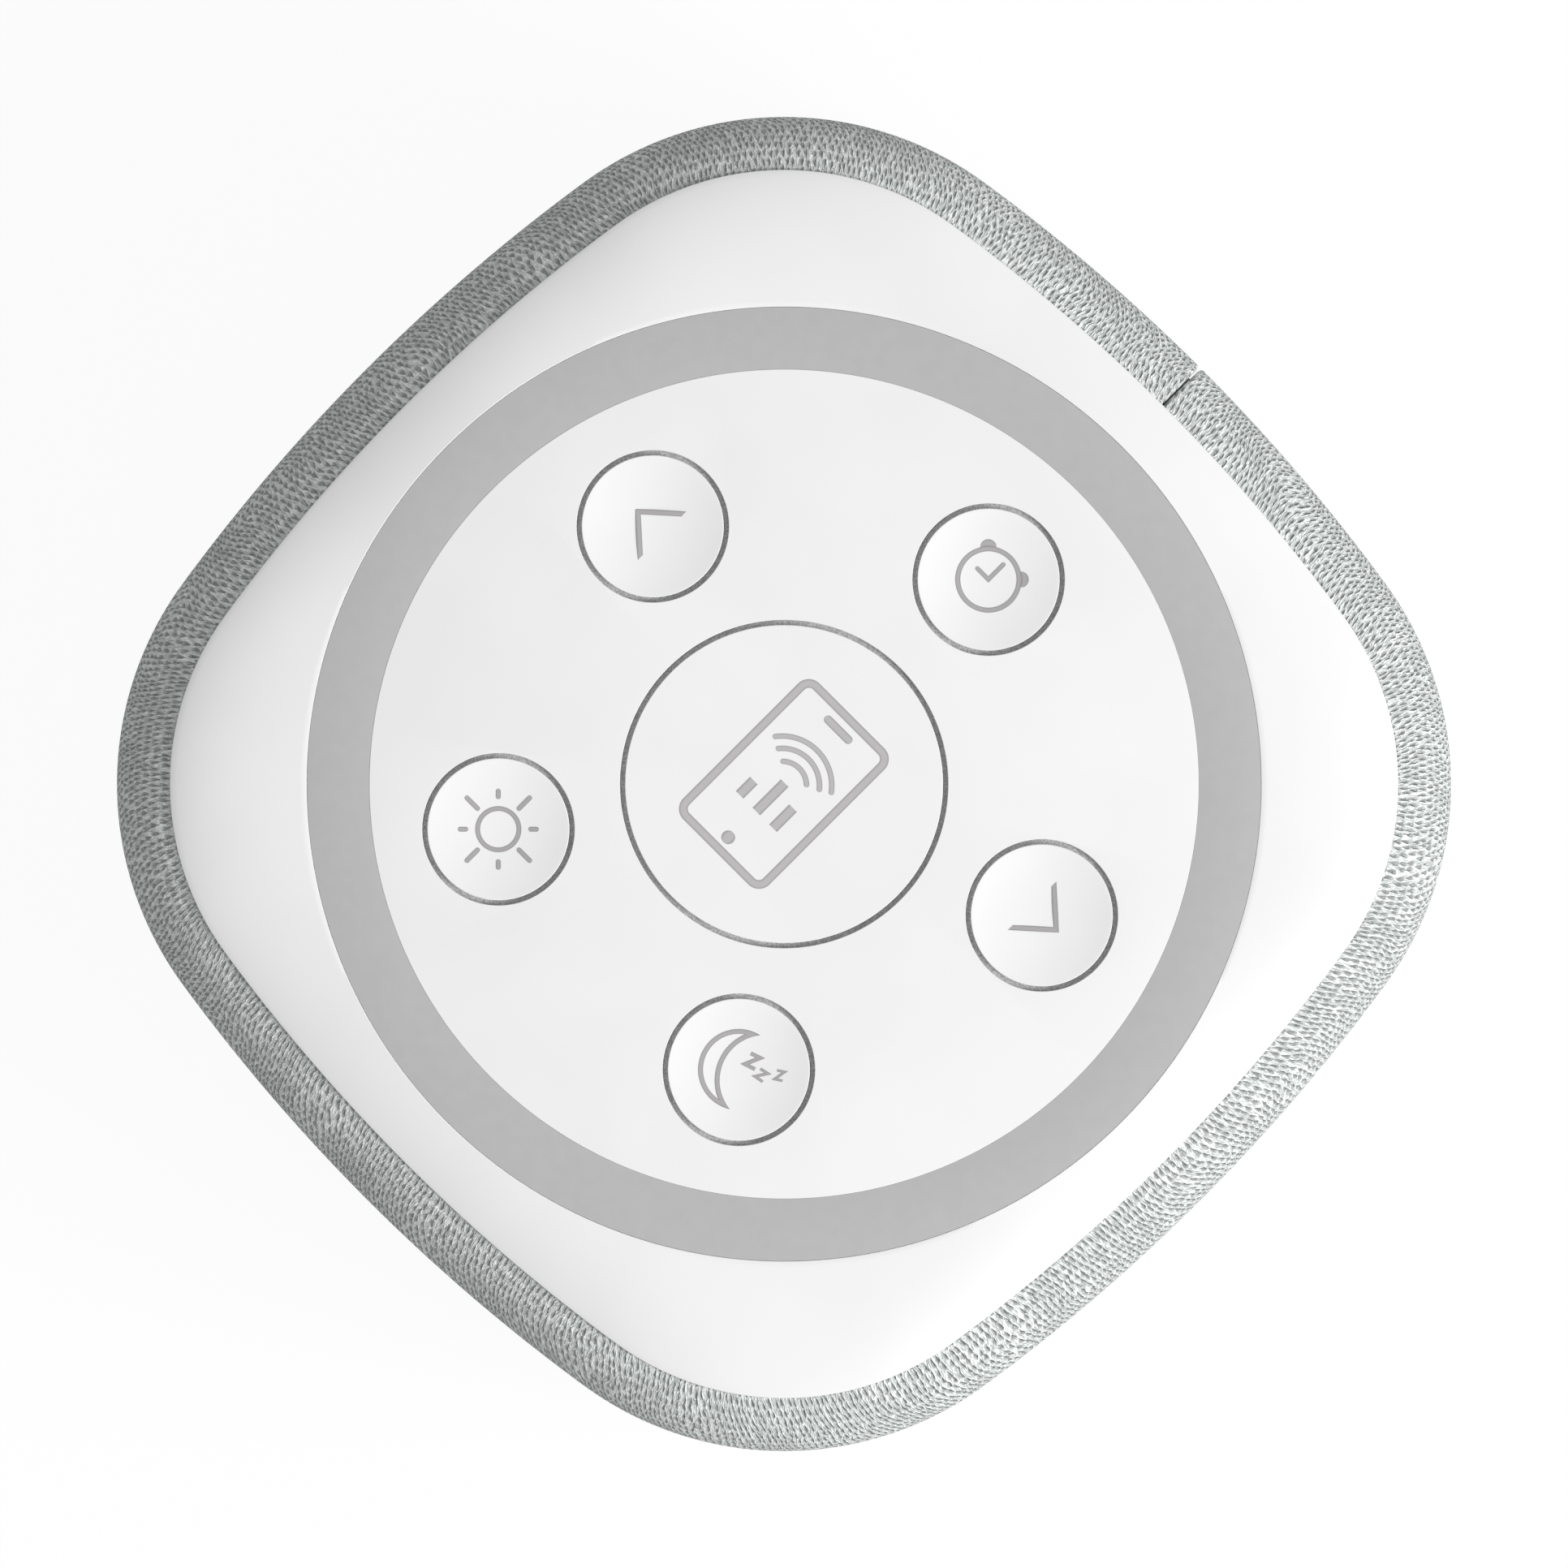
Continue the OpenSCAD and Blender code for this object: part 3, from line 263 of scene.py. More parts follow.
class Cut(Enum):
    """How a second piece changes the first one."""

    AWAY = "DIFFERENCE"
    TOGETHER = "UNION"


def carved(piece: Piece, tool: Piece, way: Cut) -> Piece:
    """Applies one Boolean modifier and removes the tool.

    Args:
        piece: The piece that stays.
        tool: The piece that cuts or joins it.
        way: Cut away or join together.

    Returns:
        The changed piece.
    """
    change = piece.modifiers.new(way.name, "BOOLEAN")
    change.operation = way.value
    change.object = tool
    change.solver = "EXACT"
    pick(piece)
    bpy.ops.object.modifier_apply(modifier=change.name)
    bpy.data.objects.remove(tool)
    return piece


def smoothed(piece: Piece, angle: float) -> None:
    """Shades a piece smooth, apart from edges that are sharper than the angle in degrees."""
    pick(piece)
    bpy.ops.object.shade_smooth_by_angle(angle=math.radians(angle))


def eased(points: Sequence[Point], sizes: dict[int, float], steps: int = 4) -> list[Point]:
    """Rounds chosen corners of a profile.

    Args:
        points: The profile's corners.
        sizes: Radius in millimetres by the corner's index.
        steps: Number of steps in each rounding.

    Returns:
        The profile with its roundings.
    """
    course: list[Point] = []
    for index, (x, y) in enumerate(points):
        if index not in sizes:
            course.append((x, y))
            continue
        before, here, after = (Vector(points[(index + k) % len(points)]) for k in (-1, 0, 1))
        start = here + (before - here).normalized() * sizes[index]
        end = here + (after - here).normalized() * sizes[index]
        for step in range(steps + 1):
            t = step / steps
            place = start * (1 - t) ** 2 + here * 2 * t * (1 - t) + end * t * t
            course.append((place.x, place.y))
    return course


def around(radius: float, angles: Iterable[float]) -> list[Point]:
    """Gives the points at these angles, in degrees, on a circle about the centre."""
    return [(radius * math.cos(math.radians(a)), radius * math.sin(math.radians(a)))
            for a in angles]


# ---- Finishes ----

# Parts of a noise's range of 0 to 1: nearly all of its values, and the middle ones.
BROAD = (0.3, 0.7)
SOFT = (0.35, 0.65)


def paint(red: float, green: float, blue: float) -> Paint:
    """Turns a colour of 0 to 255 as shown on a screen into Blender's linear one.

    Args:
        red: Red part.
        green: Green part.
        blue: Blue part.

    Returns:
        The linear colour.
    """
    shares = (red / 255, green / 255, blue / 255)
    linear = [s / 12.92 if s <= 0.04045 else ((s + 0.055) / 1.055) ** 2.4 for s in shares]
    return (linear[0], linear[1], linear[2], 1.0)


def tinted(colour: Paint, factor: float, lift: float = 0.0) -> Paint:
    """Makes a colour darker or paler by a factor, and paler by a lift."""
    return tuple(min(1.0, part * factor + lift) for part in colour[:3]) + (1.0,)


class Recipe:
    """Builds one material's nodes."""

    def __init__(self, name: str) -> None:
        """Starts a material with its Principled shader.

        Args:
            name: The material's name.
        """
        self.material = bpy.data.materials.new(name)
        self.material.use_nodes = True
        self.tree = self.material.node_tree
        self.shader = self.tree.nodes["Principled BSDF"]

    def feed(self, socket: Socket, value: object) -> None:
        """Links a socket's source, or sets its constant.

        Args:
            socket: The socket.
            value: Its source or its constant.
        """
        if isinstance(value, bpy.types.NodeSocket):
            self.tree.links.new(value, socket)
        else:
            socket.default_value = value

    def node(self, kind: str, inputs: dict[str, object], **settings: object) -> bpy.types.Node:
        """Adds a node.

        Args:
            kind: The node's type name.
            inputs: Values or sources by socket name.
            **settings: The node's own options.

        Returns:
            The new node.
        """
        made = self.tree.nodes.new(kind)
        for name, value in settings.items():
            setattr(made, name, value)
        for name, value in inputs.items():
            self.feed(made.inputs[name], value)
        return made

    def place(self, stretch: tuple[float, float, float] = (1, 1, 1)) -> Socket:
        """Gives the object's own coordinates in metres, stretched along each axis."""
        source = self.tree.nodes.new("ShaderNodeTexCoord").outputs["Object"]
        return self.node("ShaderNodeMapping", {"Vector": source, "Scale": stretch}).outputs[0]

    def strip(self, name: str) -> Socket:
        """Gives the piece's own flat map of that name."""
        return self.node("ShaderNodeUVMap", {}, uv_map=name).outputs["UV"]

    def part(self, vector: Socket, axis: str) -> Socket:
        """Gives one axis of a vector."""
        return self.node("ShaderNodeSeparateXYZ", {"Vector": vector}).outputs[axis]

    def flat(self, x: Socket, y: Socket) -> Socket:
        """Gives a vector with two axes."""
        return self.node("ShaderNodeCombineXYZ", {"X": x, "Y": y}).outputs["Vector"]

    def maths(self, way: str, *values: object, kind: str = "ShaderNodeMath") -> Socket:
        """Adds a Math or Vector Math node.

        Args:
            way: The node's operation.
            *values: Its inputs, in their order.
            kind: The node's type name.

        Returns:
            The result.
        """
        made = self.tree.nodes.new(kind)
        made.operation = way
        for socket, value in zip(made.inputs, values):
            self.feed(socket, value)
        return made.outputs[0]

    def vector(self, way: str, *values: object) -> Socket:
        """Works on vectors in the given way."""
        return self.maths(way, *values, kind="ShaderNodeVectorMath")

    def times(self, first: object, second: object) -> Socket:
        """Multiplies two values."""
        return self.maths("MULTIPLY", first, second)

    def plus(self, first: object, second: object) -> Socket:
        """Adds two values."""
        return self.maths("ADD", first, second)

    def aside(self, value: Socket) -> Socket:
        """Gives how far a value lies from a half."""
        return self.maths("ABSOLUTE", self.maths("SUBTRACT", value, 0.5))

    def noise(self, place: Socket, size: float, detail: float = 2.0, rough: float = 0.5) -> Socket:
        """Adds noise whose grains are about that many units of the place wide."""
        inputs = {"Vector": place, "Scale": 1 / size, "Detail": detail, "Roughness": rough}
        return self.node("ShaderNodeTexNoise", inputs).outputs["Fac"]

    def cells(self, place: Socket, size: float, **settings: object) -> Socket:
        """Adds cells that are that many units of the place wide, and gives their distances."""
        inputs = {"Vector": place, "Scale": 1 / size}
        return self.node("ShaderNodeTexVoronoi", inputs, **settings).outputs["Distance"]

    def span(self, value: Socket, window: Span, to: Span = (0.0, 1.0)) -> Socket:
        """Maps a value from a window to another range, held inside it.

        Args:
            value: The value.
            window: The part of its range that counts.
            to: What the window's two ends become.

        Returns:
            The mapped value.
        """
        inputs = {"Value": value, "From Min": window[0], "From Max": window[1],
                  "To Min": to[0], "To Max": to[1]}
        return self.node("ShaderNodeMapRange", inputs).outputs["Result"]

    def mix(self, share: object, low: object, high: object) -> Socket:
        """Mixes two colours by a share.

        Args:
            share: 0 for the first colour, 1 for the second.
            low: The first colour.
            high: The second colour.

        Returns:
            The mixed colour.
        """
        made = self.tree.nodes.new("ShaderNodeMix")
        made.data_type = "RGBA"
        for index, value in ((0, share), (6, low), (7, high)):
            self.feed(made.inputs[index], value)
        return made.outputs[2]

    def shade(self, value: Socket, window: Span, low: object, high: object) -> Socket:
        """Goes from one colour to another as a value goes through a window."""
        return self.mix(self.span(value, window), low, high)

    def done(self, colour: Socket, rough: object, height: Socket, depth: float,
             **constants: object) -> None:
        """Feeds the shader.

        Args:
            colour: The base colour.
            rough: The roughness.
            height: The relief's height, 0 to 1.
            depth: How deep the relief is, in millimetres.
            **constants: Other sockets of the shader by name, with _ for each space.
        """
        inputs = {"Height": height, "Strength": 1.0, "Distance": depth * MM}
        normal = self.node("ShaderNodeBump", inputs).outputs["Normal"]
        sockets = {"Base_Color": colour, "Roughness": rough, "Normal": normal, **constants}
        for name, value in sockets.items():
            self.feed(self.shader.inputs[name.replace("_", " ")], value)
        self.material.diffuse_color = (0.6, 0.6, 0.6, 1)


@dataclass(frozen=True)
class Finish:
    """A named finish. Each kind of finish fills its own recipe."""

    name: str

    def fill(self, r: Recipe) -> None:
        """Adds the finish's nodes."""
        raise NotImplementedError

    def make(self) -> bpy.types.Material:
        """Builds the material.

        Returns:
            The material.
        """
        recipe = Recipe(self.name)
        self.fill(recipe)
        return recipe.material


@dataclass(frozen=True)
class Moulded(Finish):
    """Moulded plastic with a fine eroded grain and faint flow marks. Sizes in millimetres."""

    colour: Paint
    roughness: float = 0.46
    grain: float = 0.18
    depth: float = 0.004
    mottle: float = 0.03
    flow: float = 14.0

    def fill(self, r: Recipe) -> None:
        """Adds the grain, the faint uneven tone and the uneven sheen.

        Args:
            r: The material's recipe.
        """
        place = r.place()
        grain = r.noise(place, self.grain * MM, 3, 0.6)
        dark = tinted(self.colour, 1 - self.mottle)
        tone = r.shade(r.noise(place, self.flow * MM), SOFT, dark, self.colour)
        sheen = r.span(grain, BROAD, (self.roughness - 0.04, self.roughness + 0.05))
        r.done(tone, sheen, grain, self.depth)


@dataclass(frozen=True)
class KeyPaint(Finish):
    """A key's white face over a grey grain on its walls and flange, which is painted shade for the
    gap round the key. Sizes in millimetres.
    """

    colour: Paint
    # Colour of the painted shade on the walls and flange in the gap round the key.
    skirt_shade: Paint
    face_low: float = 63.3
    roughness: float = 0.46
    grain: float = 0.16
    depth: float = 0.004
    flow: float = 9.0

    def fill(self, r: Recipe) -> None:
        """Adds the white face, and painted shade as a grey grain on every wall and on what lies
        lower, which darkens the gap round the key.

        Args:
            r: The material's recipe.
        """
        place = r.place()
        grain = r.noise(place, self.grain * MM, 3, 0.6)
        upward = r.part(r.node("ShaderNodeNewGeometry", {}).outputs["True Normal"], "Z")
        lower = r.maths("LESS_THAN", r.part(place, "Z"), self.face_low * MM)
        # The walls and the flange under the face take painted shade: a grey grain that darkens the
        # gap round each key.
        shaded_part = r.maths("MAXIMUM", r.maths("LESS_THAN", upward, 0.5), lower)
        faint = tinted(self.colour, 0.975)
        face = r.shade(r.noise(place, self.flow * MM), SOFT, faint, self.colour)
        gap_shade = r.shade(grain, (0.36, 0.64), tinted(self.skirt_shade, 0.55), self.skirt_shade)
        sheen = r.span(grain, BROAD, (self.roughness - 0.04, self.roughness + 0.05))
        r.done(r.mix(shaded_part, face, gap_shade), sheen, grain, self.depth)


@dataclass(frozen=True)
class Diffuser(Finish):
    """Milky plastic over the ring's lamps, with scattering grains under a satin face."""

    colour: Paint
    cloud: float = 1.2
    grain: float = 0.1
    sheen: Span = (0.5, 0.58)
    depth: float = 0.002
    scatter: float = 1.2

    def fill(self, r: Recipe) -> None:
        """Adds the cloudy tone and the satin face.

        Args:
            r: The material's recipe.
        """
        place = r.place()
        cloud = r.noise(place, self.cloud * MM, 4, 0.55)
        fine = r.noise(place, self.grain * MM)
        tone = r.shade(cloud, SOFT, self.colour, tinted(self.colour, 1.03))
        r.done(tone, r.span(fine, BROAD, self.sheen), fine, self.depth, Subsurface_Weight=0.05,
               Subsurface_Radius=(self.scatter * MM,) * 3)


@dataclass(frozen=True)
class Ink(Finish):
    """Printed ink that lies thin and matt, with painted shade along the edges of each stroke."""

    colour: Paint
    # How far the painted shade reaches in from a stroke's edge, as a share of half the stroke's
    # width.
    edge: float = 0.2
    speck: float = 0.06
    sheen: Span = (0.5, 0.62)
    depth: float = 0.002

    def fill(self, r: Recipe) -> None:
        """Adds the ink's speckle, painted shade along its edges and its slightly open face.

        Args:
            r: The material's recipe.
        """
        speck = r.noise(r.place(), self.speck * MM, 3, 0.7)
        across = r.part(r.strip("UVMap"), "Y")
        inside = r.times(r.maths("SUBTRACT", 0.5, r.aside(across)), 2.0)
        body = r.shade(speck, (0.4, 0.7), self.colour, tinted(self.colour, 1.06))
        # Painted shade: each stroke is darker along its edges.
        tone = r.shade(inside, (self.edge, 2.2 * self.edge), tinted(self.colour, 0.78), body)
        r.done(tone, r.span(speck, BROAD, self.sheen), speck, self.depth)


@dataclass(frozen=True)
class Knit(Finish):
    """Melange knit that reads the sleeve's own map in millimetres. Sizes in millimetres."""

    pale: Paint
    middle: Paint
    # Colour of the pits: darker yarn with painted shade in the hollows.
    deep: Paint
    wale: float = 0.59
    course: float = 1.02
    pit: Span = (0.13, 0.545)
    taper: Span = (1.8, 0.2)
    jitter: float = 0.36
    slant: float = 8.0
    thread: float = 0.18
    loose: float = 0.45
    drift: float = 0.36
    sway: float = 4.0
    depth: float = 0.48

    def fill(self, r: Recipe) -> None:
        """Adds staggered pits, the wandering threads between them and mixed fibres. The pits take
        the deep colour, which is partly darker yarn and partly painted shade in the hollows.

        Args:
            r: The material's recipe.
        """
        place = self.wander(r)
        across, up = r.part(place, "X"), r.part(place, "Y")
        pit = self.pits(r, across, up)
        lean = r.plus(across, r.times(up, math.tan(math.radians(self.slant))))
        run = r.flat(lean, r.times(up, 0.2))
        ridge = r.span(r.aside(r.noise(run, self.thread * 1.6, 1)), (0.0, 0.13), (1.0, 0.0))
        streak = r.span(r.noise(run, self.thread * 0.5), BROAD)
        loose = r.span(r.aside(r.noise(place, 0.42, 1)), (0.0, 0.07), (1.0, 0.0))
        ground = r.shade(r.noise(place, 0.8, 3), BROAD, self.middle, self.pale)
        # The deep colour in the pits is partly darker yarn and partly painted shade in the hollows
        # between threads.
        shaded = r.mix(r.times(pit, r.span(streak, (0, 1), (1.0, 0.7))), ground, self.deep)
        crest = r.times(ridge, r.span(pit, (0, 1), (1.0, 0.15)))
        lit = r.maths("MAXIMUM", crest, r.times(loose, self.loose))
        raised_fibres = r.plus(r.times(lit, 0.3), r.times(streak, 0.12))
        height = r.plus(r.span(pit, (0, 1), (0.6, 0.0)), raised_fibres)
        r.done(r.mix(lit, shaded, self.pale), 0.9, height, self.depth, Sheen_Weight=0.1,
               Sheen_Roughness=0.6, Specular_IOR_Level=0.2)

    def wander(self, r: Recipe) -> Socket:
        """Bends the sleeve's map, slowly over its length and finely from stitch to stitch.

        Args:
            r: The material's recipe.

        Returns:
            The bent map.
        """
        flat = r.strip("yarn")
        fine, slow = (
            r.node("ShaderNodeTexNoise", {"Vector": flat, "Scale": scale, "Detail": detail})
            .outputs["Color"] for scale, detail in ((0.9, 3.0), (0.09, 1.0)))
        swayed = r.vector("MULTIPLY_ADD", slow, (self.sway, self.sway / 3, 0.0), flat)
        return r.vector("MULTIPLY_ADD", fine, (self.drift, self.drift, 0.0), swayed)

    def pits(self, r: Recipe, across: Socket, up: Socket) -> Socket:
        """Adds the staggered pits, each narrow at one end.

        Args:
            r: The material's recipe.
            across: Distance round the body.
            up: Distance up the sleeve.

        Returns:
            1 in the middle of a pit, 0 on the threads.
        """
        row = r.maths("DIVIDE", up, self.course)
        grid = r.flat(r.plus(r.maths("DIVIDE", across, self.wale), r.times(row, 0.5)), row)
        inputs = {"Vector": grid, "Scale": 1.0, "Randomness": self.jitter}
        middle = r.node("ShaderNodeTexVoronoi", inputs).outputs["Position"]
        away = r.vector("SUBTRACT", grid, middle)
        above = r.part(away, "Y")
        rise = r.times(above, self.course)
        beside = r.maths("SUBTRACT", r.part(away, "X"), r.times(above, 0.5))
        turn = math.radians(self.slant)
        lean = r.plus(r.times(beside, self.wale * math.cos(turn)), r.times(rise, math.sin(turn)))
        wide, tall = self.pit
        ends = (wide * self.taper[0], wide * self.taper[1])
        narrow = r.maths("DIVIDE", lean, r.span(rise, (-tall, tall), ends))
        far = r.plus(r.maths("POWER", narrow, 2.0),
                     r.maths("POWER", r.maths("DIVIDE", rise, tall), 2.0))
        return r.span(far, (0.1, 1.25), (1.0, 0.0))


@dataclass(frozen=True)
class Metal(Finish):
    """Bare metal with fine draw lines. The stretch gives the lines' direction."""

    colour: Paint
    roughness: float = 0.3
    stretch: tuple[float, float, float] = (1.0, 1.0, 0.08)
    depth: float = 0.003

    def fill(self, r: Recipe) -> None:
        """Adds draw lines and a faint handling haze.

        Args:
            r: The material's recipe.
        """
        lines = r.noise(r.place(self.stretch), 0.08 * MM, 3, 0.6)
        haze = r.noise(r.place(), 3 * MM, 3)
        tone = r.shade(haze, (0.35, 0.7), self.colour, tinted(self.colour, 0.82))
        rough = r.span(lines, BROAD, (self.roughness - 0.07, self.roughness + 0.1))
        r.done(tone, rough, lines, self.depth, Metallic=1.0)


@dataclass(frozen=True)
class Rubber(Finish):
    """Soft rubber or insulation with a dusty face."""

    colour: Paint
    roughness: float = 0.72
    grain: float = 0.12
    bloom: float = 2.5
    depth: float = 0.01

    def fill(self, r: Recipe) -> None:
        """Adds a dusty grain and pale bloom.

        Args:
            r: The material's recipe.
        """
        place = r.place()
        grain = r.noise(place, self.grain * MM, 4, 0.65)
        bloom = r.noise(place, self.bloom * MM, 3)
        tone = r.shade(bloom, (0.4, 0.75), self.colour, tinted(self.colour, 1.25, 0.01))
        rough = r.span(grain, BROAD, (self.roughness - 0.06, self.roughness + 0.08))
        r.done(tone, rough, grain, self.depth)


@dataclass(frozen=True)
class Laminate(Finish):
    """Circuit board: solder mask over copper tracks and the laminate's faint weave."""

    mask: Paint
    copper: Paint
    pitch: float = 1.3
    lanes: float = 6.0
    depth: float = 0.03

    def fill(self, r: Recipe) -> None:
        """Adds straight tracks under the mask, plated holes and the weave.

        Args:
            r: The material's recipe.
        """
        place = r.place((1, 1, 0))
        field = r.cells(place, self.lanes * self.pitch * MM, distance="CHEBYCHEV")
        line = r.maths("LESS_THAN", r.maths("FRACT", r.times(field, self.lanes)), 0.3)
        hole = r.maths("LESS_THAN", r.cells(place, 3.2 * MM), 0.1)
        inputs = {"Vector": place, "Scale": 1 / (2.2 * MM), "Distortion": 1.0}
        weave = r.node("ShaderNodeTexWave", inputs).outputs["Fac"]
        tone = r.mix(hole, r.mix(line, self.mask, tinted(self.mask, 1.55)), self.copper)
        height = r.plus(r.times(line, 0.7), r.times(weave, 0.15))
        r.done(tone, r.span(weave, (0, 1), (0.3, 0.4)), height, self.depth)


@dataclass(frozen=True)
class Pulp(Finish):
    """Pressed paper with loose fibres."""

    colour: Paint
    roughness: float = 0.8
    depth: float = 0.05

    def fill(self, r: Recipe) -> None:
        """Adds matted fibres of uneven tone.

        Args:
            r: The material's recipe.
        """
        fibre = r.noise(r.place((1, 0.25, 0.5)), 0.2 * MM, 4, 0.7)
        cloud = r.noise(r.place(), 1.5 * MM, 3)
        share = r.times(r.span(fibre, (0.4, 0.75)), r.span(cloud, BROAD, (0.4, 1.0)))
        tone = r.mix(share, self.colour, tinted(self.colour, 1.5, 0.02))
        r.done(tone, self.roughness, fibre, self.depth)


@dataclass(frozen=True)
class Foam(Finish):
    """Open foam with small cells."""

    colour: Paint
    cell: float = 0.35
    depth: float = 0.15

    def fill(self, r: Recipe) -> None:
        """Adds the cells as pits with paler rims.

        Args:
            r: The material's recipe.
        """
        edge = r.cells(r.place(), self.cell * MM)
        tone = r.shade(edge, (0.2, 0.7), self.colour, tinted(self.colour, 1.8, 0.02))
        r.done(tone, 0.9, edge, self.depth)


@dataclass(frozen=True)
class Foil(Finish):
    """Creased metal foil over the battery's cell."""

    colour: Paint
    crease: float = 7.0
    sheen: Span = (0.32, 0.45)
    depth: float = 0.08

    def fill(self, r: Recipe) -> None:
        """Adds shallow creases and a soft metallic face.

        Args:
            r: The material's recipe.
        """
        place = r.place()
        crease = r.cells(place, self.crease * MM, feature="DISTANCE_TO_EDGE")
        haze = r.noise(place, 2 * MM, 3)
        tone = r.shade(haze, BROAD, self.colour, tinted(self.colour, 0.8))
        fold = r.span(crease, (0.0, 0.12), (1.0, 0.0))
        r.done(tone, r.span(haze, BROAD, self.sheen), fold, self.depth, Metallic=0.85)


@dataclass(frozen=True)
class Ceramic(Finish):
    """Pressed and ground ceramic, such as a ferrite magnet."""

    colour: Paint
    sheen: Span = (0.48, 0.66)
    depth: float = 0.015

    def fill(self, r: Recipe) -> None:
        """Adds grinding lines and small chips.

        Args:
            r: The material's recipe.
        """
        ground = r.noise(r.place((0.15, 1, 1)), 0.12 * MM, 3, 0.6)
        chips = r.span(r.cells(r.place(), 1.1 * MM), (0.02, 0.12), (1.0, 0.0))
        tone = r.mix(chips, self.colour, tinted(self.colour, 1.7))
        r.done(tone, r.span(ground, BROAD, self.sheen), ground, self.depth)


@dataclass(frozen=True)
class Striped(Finish):
    """A finish of fine parallel lines, such as a winding, a ribbon's wires or a woven cloth."""

    colour: Paint
    lines: Paint
    axis: str
    pitch: float
    metallic: float = 0.0
    roughness: float = 0.4
    depth: float = 0.04

    def fill(self, r: Recipe) -> None:
        """Adds rounded lines across one axis, with slightly uneven tone.

        Args:
            r: The material's recipe.
        """
        place = r.place()
        turns = r.times(r.part(place, self.axis), math.tau / (self.pitch * MM))
        crest = r.span(r.maths("SINE", turns), (-1.0, 1.0))
        share = r.times(crest, r.span(r.noise(place, 0.9 * MM, 3), BROAD, (0.7, 1.0)))
        tone = r.mix(share, self.colour, self.lines)
        r.done(tone, self.roughness, crest, self.depth, Metallic=self.metallic)


@dataclass(frozen=True)
class Lamp(Finish):
    """A small lamp with phosphor under a clear face."""

    colour: Paint
    grain: float = 0.12
    sheen: Span = (0.2, 0.32)
    depth: float = 0.01

    def fill(self, r: Recipe) -> None:
        """Adds the grainy phosphor and the clear coat.

        Args:
            r: The material's recipe.
        """
        grain = r.noise(r.place(), self.grain * MM, 3, 0.6)
        tone = r.shade(grain, SOFT, tinted(self.colour, 0.8), self.colour)
        r.done(tone, r.span(grain, BROAD, self.sheen), grain, self.depth, Coat_Weight=0.6,
               Coat_Roughness=0.08)


WHITE = paint(240, 240, 240)

FINISHES: tuple[Finish, ...] = (
    Moulded("base_plastic", paint(228, 229, 229), 0.5),
    Rubber("foot_rubber", paint(92, 94, 96)),
    Metal("screw_steel", paint(178, 180, 184), 0.28),
    Moulded("frame_plastic", paint(196, 198, 200), 0.55, 0.3, 0.01),
    # The knit's third colour fills its pits: partly darker yarn, partly painted shade in the
    # hollows.
    Knit("knit_fabric", paint(250, 255, 253), paint(210, 216, 214), paint(122, 129, 127)),
    Moulded("shell_plastic", WHITE, 0.44),
    Diffuser("diffuser_plastic", paint(180, 180, 180)),
    Moulded("reflector_plastic", paint(245, 245, 243), 0.25, 0.4, 0.002),
    Lamp("led_plastic", paint(238, 222, 130)),
    Moulded("panel_plastic", WHITE, 0.48),
    Laminate("board_laminate", paint(20, 84, 52), paint(200, 160, 90)),
    Moulded("switch_plastic", paint(46, 47, 50), 0.4, 0.1, 0.006),
    # The second colour is painted shade for the walls and flange in the gap round each key.
    KeyPaint("button_plastic", WHITE, paint(228, 228, 229)),
    Moulded("plunger_plastic", paint(28, 28, 30), 0.35, 0.1, 0.004),
    Moulded("box_plastic", paint(52, 53, 56), 0.5, 0.25, 0.01, 0.08),
    Rubber("grommet_rubber", paint(26, 26, 28)),
    Foam("gasket_foam", paint(34, 34, 36)),
    Moulded("basket_steel", paint(60, 61, 64), 0.38, 0.35, 0.012, 0.06),
    Metal("yoke_steel", paint(186, 188, 176), 0.34, (0.1, 1.0, 1.0)),
    Ceramic("magnet_ferrite", paint(52, 50, 52)),
    Pulp("former_paper", paint(160, 128, 88), 0.7),
    Striped("coil_copper", paint(120, 60, 28), paint(214, 128, 74), "Z", 0.22, 1.0, 0.3),
    Pulp("cone_paper", paint(44, 44, 46)),
    Rubber("surround_rubber", paint(24, 24, 26), 0.5),
    Striped("spider_cloth", paint(150, 118, 66), paint(206, 176, 118), "X", 0.5, 0.0, 0.8, 0.08),
    Metal("terminal_brass", paint(214, 178, 98), 0.3),
    Moulded("chip_resin", paint(34, 35, 38), 0.45, 0.08, 0.008, 0.1),
    Metal("shield_steel", paint(192, 194, 196), 0.32, (1.0, 0.1, 1.0)),
    Metal("can_aluminium", paint(204, 206, 210), 0.3),
    Moulded("socket_plastic", paint(226, 220, 200), 0.4, 0.1, 0.004),
    Striped("ribbon_plastic", paint(214, 222, 232), paint(140, 148, 160), "X", 0.5, 0.0, 0.3, 0.06),
    Foil("battery_foil", paint(188, 190, 192)),
    Rubber("lead_red", paint(168, 28, 26), 0.45, 0.2),
    Rubber("lead_black", paint(26, 26, 28), 0.45, 0.2),
    Ink("mark_ink", paint(184, 181, 182)),
    Ink("fine_ink", paint(169, 166, 167)),
)


class Paints:
    """Keeps one material for each finish."""

    def __init__(self, finishes: Iterable[Finish]) -> None:
        """Builds every finish's material once."""
        self.made = {finish.name: finish.make() for finish in finishes}

    def coat(self, piece: Piece, finish: str) -> None:
        """Gives a new piece or a CAD node one finish all over."""
        piece.data.materials.clear()
        piece.data.materials.append(self.made[finish])

    def stand_in(self, piece: Piece, node: str, body: str, slot: str) -> None:
        """Dresses a new piece and lets it stand for a CAD node.

        Args:
            piece: The new piece.
            node: The CAD node that it stands for.
            body: The CAD body that it rides on.
            slot: The finish, named as the record's slot.
        """
        self.coat(piece, slot)
        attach(piece, body)
        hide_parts(node)
        faces = len(piece.data.polygons)
        log.info("%s stands for %s on %s, %d faces", piece.name, node, body, faces)


# ---- Body's plan ----


